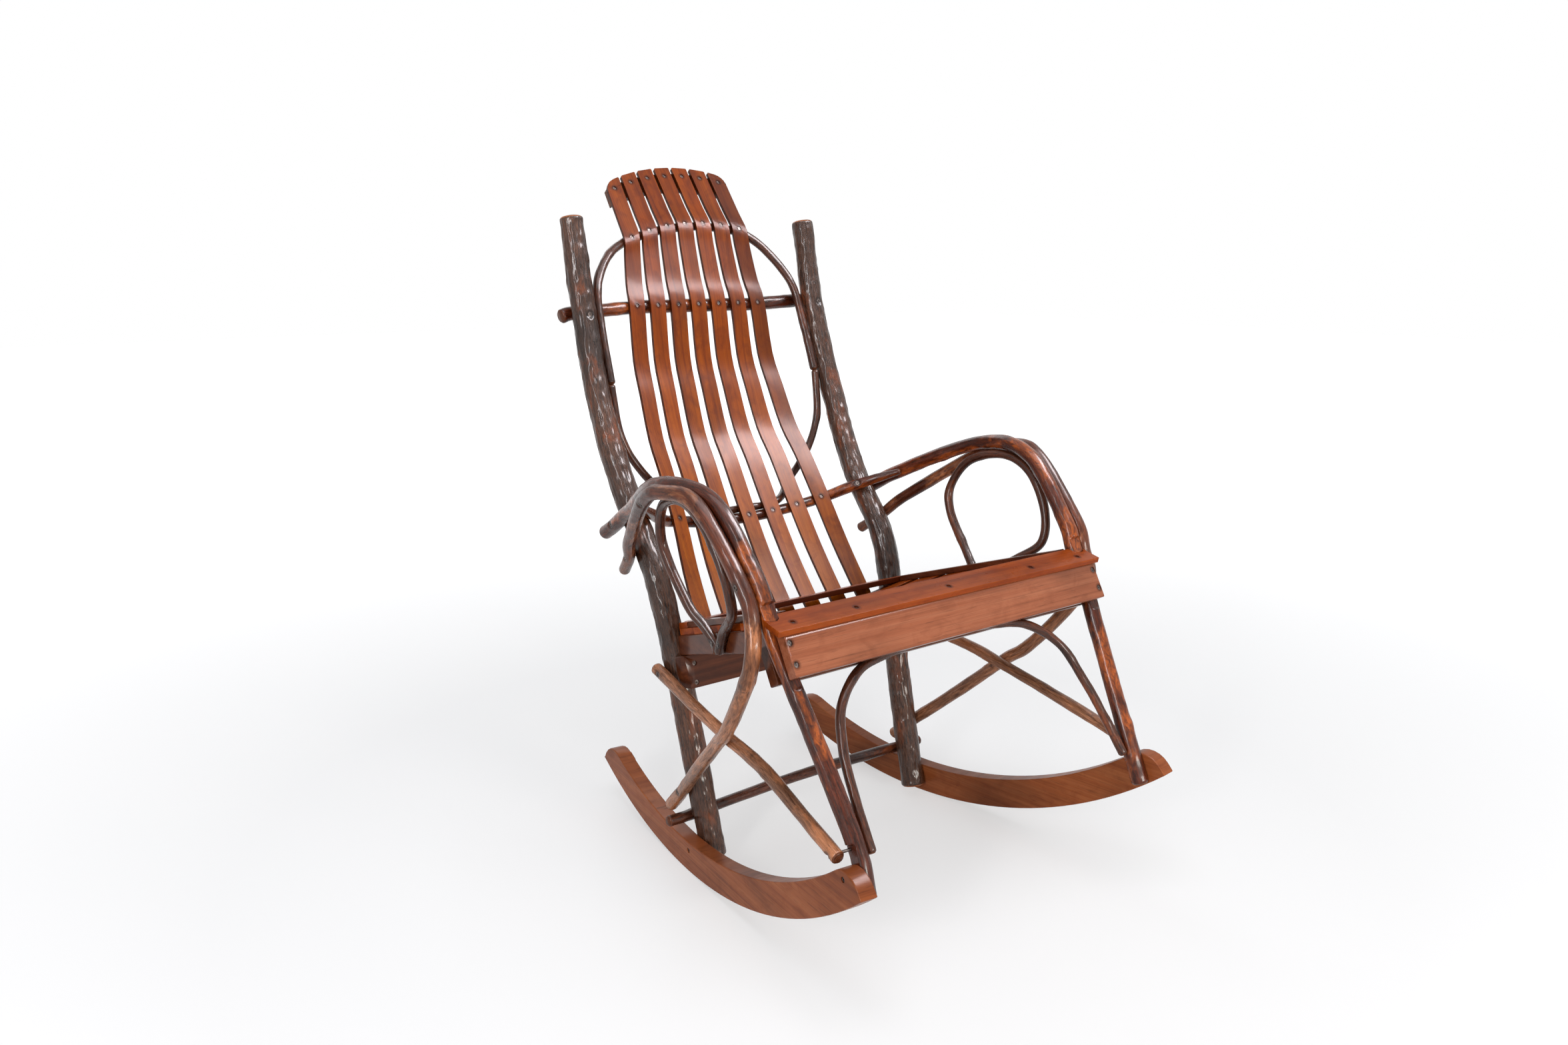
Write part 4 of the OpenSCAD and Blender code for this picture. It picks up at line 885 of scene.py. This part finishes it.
def even_steps(curve, spacing):
    """Points at even distances along a curve, and how far along it each is."""
    gaps = np.linalg.norm(np.diff(curve[:, :3], axis=0), axis=1)
    s = np.concatenate([[0], np.cumsum(gaps)])
    n = max(FEWEST_RINGS, int(round(s[-1] / spacing)))
    marks = np.linspace(0, s[-1], n + 1)
    return np.stack([np.interp(marks, s, curve[:, k]) for k in range(4)], 1), marks


def lattice(rng, turn, along, cells, step):
    """Smooth seeded noise round and along a stick, from -1 to 1."""
    grid = rng.uniform(-1, 1, (int(along.max() / step) + 3, cells))
    u = (turn / (2 * np.pi)) % 1 * cells
    v = along / step + rng.uniform(0, 1)
    iu, iv = np.floor(u).astype(int), np.floor(v).astype(int)
    fu, fv = u - iu, v - iv
    fu, fv = fu * fu * (3 - 2 * fu), fv * fv * (3 - 2 * fv)
    a, b = iu % cells, (iu + 1) % cells
    low = grid[iv, a] * (1 - fu) + grid[iv, b] * fu
    high = grid[iv + 1, a] * (1 - fu) + grid[iv + 1, b] * fu
    return low * (1 - fv) + high * fv


def cross_axes(centre):
    """Two directions across the stick at each ring, without twist."""
    way = np.gradient(centre, axis=0)
    way /= np.linalg.norm(way, axis=1)[:, None]
    side = np.zeros_like(way)
    runs_sideways = abs(way[0][X]) > NEARLY_SIDEWAYS
    first = np.array([0, 0, 1.0]) if runs_sideways else np.array([1.0, 0, 0])
    for i in range(len(way)):
        prev = first if i == 0 else side[i - 1]
        side[i] = unit(prev - (prev @ way[i]) * way[i])
    return side, np.cross(way, side)


def bark_relief(rng, turn, along, radius, ridges, knots):
    """Height of the bark and how scarred it is, at each point of each ring."""
    length = along.max()
    sides = turn.shape[1]
    twist = turn + BARK_TWIST * along * rng.uniform(-1, 1)
    relief = sum(height * lattice(rng, turn, along, cells, step)
                 for height, cells, step in (WIDE_SWELLING, SHORT_SWELLING))
    coarse = max(FEWEST_FURROWS, int(2 * np.pi * radius.mean() / FURROW_WIDTH))
    furrow = 1 - FURROW_SHARPNESS * np.abs(lattice(rng, twist, along, coarse, FURROW_STEP))
    fine = lattice(rng, twist, along, min(sides // 2, 2 * coarse), FINE_STEP)
    relief += ridges * (FURROW_HEIGHT * furrow + FINE_HEIGHT * fine)
    scar = np.zeros_like(turn)
    for _ in range(knots):
        where, facing = rng.uniform(*KNOT_SPAN) * length, rng.uniform(*KNOT_FACING)
        down = (along - where) / rng.uniform(*KNOT_LENGTH)
        angle = (turn - facing + np.pi) % (2 * np.pi) - np.pi
        round_it = angle * radius[:, None] / rng.uniform(*KNOT_WIDTH)
        d2 = down ** 2 + round_it ** 2
        relief += rng.uniform(*KNOT_HEIGHT) * np.exp(-d2) - KNOT_DENT * np.exp(-KNOT_DENT_FALL * d2)
        scar = np.maximum(scar, np.exp(-KNOT_SCAR_FALL * d2))
        relief += KNOT_COLLAR * np.exp(-down ** 2)
    return relief, scar


def cut_flats(co, centre, flats):
    """Pares the stick down to the flats at its joints."""
    ring = np.arange(len(centre))
    early = ring * 2 < len(centre)
    for point, out, reach, half in flats:
        out = unit(out)
        near = np.linalg.norm(centre - point, axis=1) < reach
        if half != BOTH_HALVES:
            near &= early if half == FIRST_HALF else ~early
        over = np.maximum((co - point) @ out, 0) * near[:, None]
        co = co - over[..., None] * out
    return co


def press_seats(co):
    """Presses a seat under each screw head, and says where the stain and painted shade round it lie."""
    stain_and_shade = np.zeros(co.shape[:2])
    for top, inward in STICK_HEADS:
        rel = co - top
        t = rel @ inward
        rho = np.linalg.norm(rel - t[..., None] * inward, axis=2)
        within = np.abs(t) < SEAT_REACH
        if not ((rho < STAIN_AND_SHADE_RADIUS) & within).any():
            continue
        depth = np.clip((SEAT_RADIUS + SEAT_SLOPE - rho) / SEAT_SLOPE, 0, 1)
        push = np.maximum(SEAT_DEPTH - t, 0) * depth * within
        co = co + push[..., None] * inward
        spread = np.clip((STAIN_AND_SHADE_RADIUS - rho) / STAIN_AND_SHADE_SLOPE, 0, 1)
        stain_and_shade = np.maximum(stain_and_shade, spread * within * STAIN_AND_SHADE_STRENGTH)
    return co, stain_and_shade


def stick(node, route, bark_kind, cut_kind, sides, seed, ridges, knots, left=False):
    """Tube with bark in its shape: ridges, slow swelling, knots, seats for the screws, and bevelled ends."""
    name = node + "_bark"
    rng = np.random.default_rng(seed)
    path, s = even_steps(smooth_curve(ROUTES[route], CURVE_STEPS, CURVE_STEPS), RING_SPACING)
    centre, radius = path[:, :3], path[:, 3] / 2
    n = len(centre)
    length = s[-1]
    side, up = cross_axes(centre)
    turn, along = np.meshgrid(2 * np.pi * np.arange(sides) / sides, s)
    relief, scar = bark_relief(rng, turn, along, radius, ridges, knots)
    to_end = np.minimum(s, length - s)
    fade = np.minimum(1, to_end / END_FADE)[:, None]
    r = radius[:, None] + (relief - MEAN_RELIEF) * fade * (radius[:, None] / FULL_RELIEF_RADIUS) ** 0.5
    inset = np.where(to_end < END_BEVEL, END_BEVEL - to_end, 0)[:, None]
    r = np.maximum(r - inset, SMALLEST_RADIUS)
    across = np.cos(turn)[..., None] * side[:, None] + np.sin(turn)[..., None] * up[:, None]
    co = cut_flats(centre[:, None] + r[..., None] * across, centre, FLATS.get(route, []))
    if left:
        co = co * np.array([-1, 1, 1])
    co, stain_and_shade = press_seats(co)

    verts = np.concatenate([co.reshape(-1, 3), [co[0].mean(0)], [co[-1].mean(0)]])
    start = PATTERN_STEP * (seed % PATTERN_STARTS)
    flow = np.stack([r * np.cos(turn), r * np.sin(turn), along + start], 2).reshape(-1, 3)
    flow = np.concatenate([flow, [[0, 0, flow[0][2]], [0, 0, flow[-1][2]]]])
    # The mark carries the knots' scars, and round the screws the stain with painted shade
    mark = np.concatenate([np.maximum(scar, stain_and_shade).reshape(-1), [0, 0]])
    i, k = np.meshgrid(np.arange(n - 1), np.arange(sides), indexing="ij")
    a, b = i * sides + k, i * sides + (k + 1) % sides
    faces = [tuple(q) for q in np.stack([a, b, b + sides, a + sides], 2).reshape(-1, 4).tolist()]
    first_middle, last_middle, last_ring = n * sides, n * sides + 1, (n - 1) * sides
    faces += [(first_middle, (j + 1) % sides, j) for j in range(sides)]
    faces += [(last_middle, last_ring + j, last_ring + (j + 1) % sides) for j in range(sides)]
    if left:
        faces = [tuple(reversed(f)) for f in faces]

    mesh = bpy.data.meshes.new(name)
    mesh.from_pydata((verts * MM).tolist(), [], faces)
    mesh.attributes.new("flow", "FLOAT_VECTOR", "POINT").data.foreach_set("vector", (flow * MM).ravel())
    mesh.attributes.new("scar", "FLOAT", "POINT").data.foreach_set("value", mark.ravel())
    mesh.materials.append(MATERIALS[bark_kind])
    mesh.materials.append(MATERIALS[cut_kind])
    bevel_rings = max(0, int(np.ceil(END_BEVEL / (length / (n - 1)))) - 1)
    index = np.zeros(len(faces), int)
    index[:bevel_rings * sides] = 1
    index[(n - 1 - bevel_rings) * sides:] = 1
    mesh.polygons.foreach_set("material_index", index)
    mesh.polygons.foreach_set("use_smooth", np.ones(len(faces), bool))
    mesh.update()
    mesh.set_sharp_from_angle(angle=SHARP_ANGLE)
    obj = bpy.data.objects.new(name, mesh)
    bpy.context.scene.collection.objects.link(obj)
    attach(obj, "root")
    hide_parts(node)


# Route, node, bark, cut end, sides, seed, ridges, knots, material slot; a pair's left stick has its own seed
LEFT_SEED_STEP = 3
PAIRS = [
    ("post", "back_post", "post", "cut", 84, 11, 1.5, 6, "post_bark"),
    ("arm", "leg_and_arm", "sapling", "cut_dark", 48, 23, 0.6, 7, "sapling_bark"),
    ("bow", "side_bow", "light_sapling", "cut_dark", 40, 37, 0.5, 7, "sapling_bark"),
    ("ring", "arm_ring", "thin", "cut_dark", 32, 43, 0.5, 6, "hoop_bark"),
    ("brace", "side_brace", "light_sapling", "cut_dark", 36, 59, 0.5, 5, "sapling_bark"),
]
SINGLES = [
    ("front_hoop", "front_hoop", "thin", "cut_dark", 30, 61, 0.7, 9, "hoop_bark"),
    ("mid_rod", "mid_back_rod", "sapling", "cut_dark", 44, 71, 0.5, 5, "sapling_bark"),
    ("upper_hoop", "upper_back_hoop", "thin", "cut_dark", 30, 83, 0.6, 8, "hoop_bark"),
    ("lower_hoop", "lower_back_hoop", "thin", "cut_dark", 30, 97, 0.6, 7, "hoop_bark"),
    ("cross_bow", "arm_cross_bow", "sapling", "cut_dark", 36, 101, 0.5, 6, "sapling_bark"),
    ("stretcher", "rear_stretcher", "thin", "cut_dark", 34, 113, 0.6, 5, "sapling_bark"),
]
for route, node, kind, cut, sides, seed, ridges, knots, slot in PAIRS:
    for label, own_seed in (("left", seed + LEFT_SEED_STEP), ("right", seed)):
        sided = node + "_" + label
        stick(sided, route, kind, cut, sides, own_seed, ridges, knots, left=label == "left")
for route, node, kind, cut, sides, seed, ridges, knots, slot in SINGLES:
    stick(node, route, kind, cut, sides, seed, ridges, knots)


# Boards: the frame's own nodes, with eased edges and varnished grain

# Cosines of the angle between two faces: below the first they meet in a crease, and below the second in a
# corner, which is eased where its edge is long enough
CREASE = math.cos(math.radians(32))
CORNER = 0.6
SHORTEST_EASED = 6.0
EASE_SEGMENTS = 3
SAME_PLACE = 1e-5
SAME_PLACE_DIGITS = 6


def dress(node, material, ease):
    """Joins a node's faces at their seams, keeps its creases and eases its long edges."""
    obj = frame["nodes"][node]
    mesh = obj.data
    mesh.materials.clear()
    mesh.materials.append(material)
    mesh.polygons.foreach_set("material_index", np.zeros(len(mesh.polygons), int))
    mesh.polygons.foreach_set("use_smooth", np.ones(len(mesh.polygons), bool))
    spots = {}
    spot = [spots.setdefault(tuple(round(c, SAME_PLACE_DIGITS) for c in v.co), v.index)
            for v in mesh.vertices]
    touching = {}
    for p in mesh.polygons:
        for i, k in p.edge_keys:
            touching.setdefault(tuple(sorted((spot[i], spot[k]))), []).append(p.normal.copy())
    weight = np.zeros(len(mesh.edges))
    sharp = np.zeros(len(mesh.edges), bool)
    for e in mesh.edges:
        i, k = e.vertices
        near = touching.get(tuple(sorted((spot[i], spot[k]))), [])
        if len(near) == 2 and near[0].dot(near[1]) > CREASE:
            continue
        long_enough = (mesh.vertices[i].co - mesh.vertices[k].co).length > SHORTEST_EASED * MM
        if ease > 0 and len(near) == 2 and near[0].dot(near[1]) < CORNER and long_enough:
            weight[e.index] = 1.0
        else:
            sharp[e.index] = True
    mesh.attributes.new("bevel_weight_edge", "FLOAT", "EDGE").data.foreach_set("value", weight)
    flags = mesh.attributes.get("sharp_edge") or mesh.attributes.new("sharp_edge", "BOOLEAN", "EDGE")
    flags.data.foreach_set("value", sharp)
    weld = obj.modifiers.new("joined_seams", "WELD")
    weld.merge_threshold = SAME_PLACE
    if ease > 0:
        mod = obj.modifiers.new("eased_edges", "BEVEL")
        mod.width = ease * MM
        mod.segments = EASE_SEGMENTS
        mod.limit_method = "WEIGHT"
    weighted = obj.modifiers.new("even_shading", "WEIGHTED_NORMAL")
    weighted.keep_sharp = True


HEAD_MARGIN = 12.0


def heads_in(node, tops):
    """Tops of the screws that sit inside a node's box."""
    low, high = (np.array(c, float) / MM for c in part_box(node))
    return [top for top in tops if (top > low - HEAD_MARGIN).all() and (top < high + HEAD_MARGIN).all()]


def tinted(shades, tint):
    """Shades of the grain, all lighter or darker by one factor."""
    return [shaded(shade, tint) for shade in shades]


SLAT_TOPS = [top for top, way in screw_heads("back_slat_screws")]
SEAT_TOPS = [top for top, way in screw_heads("seat_screws")]
APRON_TOPS = [top for top, way in screw_heads("apron_screws")]

# Dark, middle and light shade of the grain
SLAT_SHADES = ((0.155, 0.024, 0.001), (0.365, 0.082, 0.003), (0.510, 0.138, 0.008))
SEAT_SHADES = ((0.160, 0.022, 0.003), (0.330, 0.056, 0.005), (0.43, 0.092, 0.013))
CREST_SHADES = ((0.050, 0.013, 0.004), (0.13, 0.036, 0.010), (0.22, 0.070, 0.020))
APRON_SHADES = ((0.18, 0.046, 0.018), (0.300, 0.092, 0.042), (0.40, 0.145, 0.074))
ROCKER_SHADES = ((0.15, 0.032, 0.010), (0.300, 0.082, 0.025), (0.41, 0.135, 0.048))
RAIL_SHADES = ((0.030, 0.007, 0.003), (0.085, 0.022, 0.008), (0.14, 0.040, 0.014))
SIDE_SHADES = ((0.040, 0.009, 0.004), (0.105, 0.026, 0.009), (0.17, 0.048, 0.016))

# Painted shade: the back slats are darker and deeper in colour towards the top, where the light is weaker,
# by height in metres, and each has a tint of its own
SLAT_PAINTED_SHADE = [(0.42, (1.0, 1.0, 1.0)), (0.66, (0.78, 0.68, 0.6)), (1.0, (0.66, 0.50, 0.4))]
SLAT_TINTS = (1.0, 1.08, 0.92, 1.0, 1.06, 0.97, 0.72)
SLAT_EASE = 0.9
for i, tint in enumerate(SLAT_TINTS, 1):
    node = "back_slat_%d" % i
    wood = board_wood(
        node + "_wood", Z, tinted(SLAT_SHADES, tint), shaded_side_axis=X, flat_axis=Y,
        shift=(3.1 * i, 1.7 * i, 0.9 * i), gloss=0.36, blotches=0.8, coat=0.24, coat_rough=0.22,
        heads=heads_in(node, SLAT_TOPS), fade=SLAT_PAINTED_SHADE)
    dress(node, wood, SLAT_EASE)

SEAT_TINTS = {
    "front_seat_slat": 0.92, "rear_seat_board": 0.85, "seat_slat_1": 1.06, "seat_slat_2": 0.97,
    "seat_slat_3": 1.03, "seat_slat_4": 0.93, "seat_slat_5": 1.0, "seat_slat_6": 0.95,
}
SEAT_EASE = 1.4
for i, (node, tint) in enumerate(SEAT_TINTS.items()):
    wood = board_wood(
        node + "_wood", X, tinted(SEAT_SHADES, tint), shaded_side_axis=None if node == "front_seat_slat" else Y,
        shift=(7 + 2.3 * i, 3 + 1.1 * i, 1 + 0.7 * i), gloss=0.30, blotches=0.6, coat=0.13, coat_rough=0.16,
        heads=heads_in(node, SEAT_TOPS))
    dress(node, wood, SEAT_EASE)

CREST_WOOD = board_wood("crest_wood", X, CREST_SHADES, shaded_side_axis=Z, shift=(5, 1, 2))
APRON_WOOD = board_wood("apron_wood", X, APRON_SHADES, shift=(2, 8, 3), coat=0.35, coat_rough=0.16,
                        heads=APRON_TOPS)
ROCKER_WOOD = board_wood("rocker_wood", Y, ROCKER_SHADES, flat_axis=X, shift=(4, 2, 9), gloss=0.36,
                         coat=0.18, coat_rough=0.2)
RAIL_WOOD = board_wood("dark_rail_wood", X, RAIL_SHADES, shift=(1, 6, 4), gloss=0.34)
SIDE_WOOD = board_wood("side_rail_wood", Y, SIDE_SHADES, shift=(6, 4, 8), gloss=0.32)

# Wood, width of the eased edges in millimetres, nodes
BOARDS = [
    (CREST_WOOD, 1.2, ["crest_rail"]),
    (APRON_WOOD, 2.0, ["apron"]),
    (ROCKER_WOOD, 2.5, ["rocker_left", "rocker_right"]),
    (RAIL_WOOD, 1.8, ["front_seat_rail", "rear_seat_rail"]),
    (SIDE_WOOD, 1.6, ["side_rail_left", "side_rail_right", "centre_rail"]),
    (SIDE_WOOD, 1.6, ["side_strip_left", "side_strip_right"]),
    (MATERIALS["steel"], 0, [node for node in frame["nodes"] if node.endswith("_screws")]),
]
for wood, ease, nodes in BOARDS:
    for node in nodes:
        dress(node, wood, ease)


# Floor, light and camera

def seen_directly(tree):
    """One for rays from the camera, from gloss and through clear things."""
    path = tree.nodes.new("ShaderNodeLightPath")
    first = tree.nodes.new("ShaderNodeMath")
    second = tree.nodes.new("ShaderNodeMath")
    first.operation = second.operation = "MAXIMUM"
    tree.links.new(path.outputs["Is Camera Ray"], first.inputs[0])
    tree.links.new(path.outputs["Is Glossy Ray"], first.inputs[1])
    tree.links.new(first.outputs[0], second.inputs[0])
    tree.links.new(path.outputs["Is Transmission Ray"], second.inputs[1])
    return second.outputs[0]


FLOOR_REACH = 14.0
FLOOR_PALE = (0.46, 0.46, 0.465)
FLOOR_ROUGHNESS = 0.9
# Glow of the floor on those rays, by distance as a share of its reach
FLOOR_GLOW = [(0.07, 0.5), (0.28, 1.0)]


def floor():
    """Pale floor that turns white away from the chair and keeps its shadow."""
    t = Tree("floor")
    t.finish(FLOOR_PALE, FLOOR_ROUGHNESS, None, coat=0.0, coat_rough=0.1, specular=0.1)
    away = t.node("ShaderNodeVectorMath", operation="LENGTH")
    t.link(t.place(), away.inputs[0])
    glow = t.ramp(t.math("MULTIPLY", away.outputs["Value"], 1.0 / FLOOR_REACH), FLOOR_GLOW)
    shine = t.node("ShaderNodeEmission")
    t.link(t.math("MULTIPLY", glow, seen_directly(t.tree)), shine.inputs["Strength"])
    both = t.node("ShaderNodeAddShader")
    t.link(t.bsdf.outputs[0], both.inputs[0])
    t.link(shine.outputs[0], both.inputs[1])
    t.link(both.outputs[0], t.out.inputs[0])
    mesh = bpy.data.meshes.new("floor")
    corners = [(x * FLOOR_REACH, y * FLOOR_REACH, 0) for x, y in ((-1, -1), (1, -1), (1, 1), (-1, 1))]
    mesh.from_pydata(corners, [], [(0, 1, 2, 3)])
    mesh.materials.append(t.mat)
    obj = bpy.data.objects.new("floor", mesh)
    bpy.context.scene.collection.objects.link(obj)


def lamp(name, place, target, size, power, colour, gloss_only=False):
    """Soft rectangular lamp, one that shows only in the varnish where gloss_only is set."""
    data = bpy.data.lights.new(name, "AREA")
    data.shape = "RECTANGLE"
    data.size, data.size_y = size
    data.energy = power
    data.color = colour
    obj = bpy.data.objects.new(name, data)
    obj.location = place
    obj.rotation_euler = (Vector(target) - Vector(place)).to_track_quat("-Z", "Y").to_euler()
    obj.visible_camera = False
    obj.visible_diffuse = not gloss_only
    bpy.context.scene.collection.objects.link(obj)


WORLD_SOFT = (0.95, 0.97, 1.0)
WORLD_SOFT_STRENGTH = 0.38
WORLD_WHITE = (1.0, 1.0, 1.0)
WORLD_WHITE_STRENGTH = 1.0


def world():
    """Soft even light on the chair, and plain white where the world itself is seen."""
    scene = bpy.context.scene
    scene.world = bpy.data.worlds.new("studio")
    scene.world.use_nodes = True
    tree = scene.world.node_tree
    tree.nodes.clear()
    out = tree.nodes.new("ShaderNodeOutputWorld")
    mix = tree.nodes.new("ShaderNodeMixShader")
    tree.links.new(seen_directly(tree), mix.inputs[0])
    soft = (1, WORLD_SOFT, WORLD_SOFT_STRENGTH)
    white = (2, WORLD_WHITE, WORLD_WHITE_STRENGTH)
    for socket, colour, strength in (soft, white):
        light = tree.nodes.new("ShaderNodeBackground")
        light.inputs[0].default_value = (*colour, 1)
        light.inputs[1].default_value = strength
        tree.links.new(light.outputs[0], mix.inputs[socket])
    tree.links.new(mix.outputs[0], out.inputs[0])


floor()
world()
AIM = (0, 0, 0.6)
lamp("overhead", (-0.3, -0.6, 3.2), AIM, (2.2, 1.8), 42, (0.97, 0.97, 1.0))
lamp("left_window", (-2.9, -1.6, 1.3), AIM, (0.4, 1.3), 44, (1.0, 0.98, 0.97))
lamp("front_low", (0.2, -2.9, 0.7), (0, 0, 0.35), (1.0, 0.4), 36, (1.0, 0.95, 0.88))
lamp("behind", (0.8, 2.8, 2.4), AIM, (2.0, 1.2), 14, (0.96, 0.98, 1.0))
lamp("sheen", (0.86, -0.74, 2.18), (0, 0.24, 0.68), (1.1, 0.6), 72, (0.97, 0.93, 0.97), gloss_only=True)
lamp("left_streak", (-2.5, -1.1, 1.9), AIM, (0.25, 1.2), 24, (0.95, 0.96, 1.0), gloss_only=True)

SENSOR_WIDTH = 36.0
LENS = 27.55
VIEW_DEPTH = 100
CAMERA_PLACE = (-1.253, -1.5706, 1.0051)
CAMERA_FORWARD = (0.59091, 0.77644, -0.219)
CAMERA_RIGHT = (0.79576, -0.60561, 0.0)
camera = bpy.data.cameras.new("photo_view")
camera.sensor_width = SENSOR_WIDTH
camera.lens = LENS
camera.clip_end = VIEW_DEPTH
camera_object = bpy.data.objects.new("photo_view", camera)
forward = Vector(CAMERA_FORWARD).normalized()
right = Vector(CAMERA_RIGHT).normalized()
turn = Matrix((right, right.cross(forward), -forward)).transposed().to_4x4()
camera_object.matrix_world = Matrix.Translation(CAMERA_PLACE) @ turn
bpy.context.scene.collection.objects.link(camera_object)
bpy.context.scene.camera = camera_object

view = bpy.context.scene.view_settings
view.view_transform = "Standard"
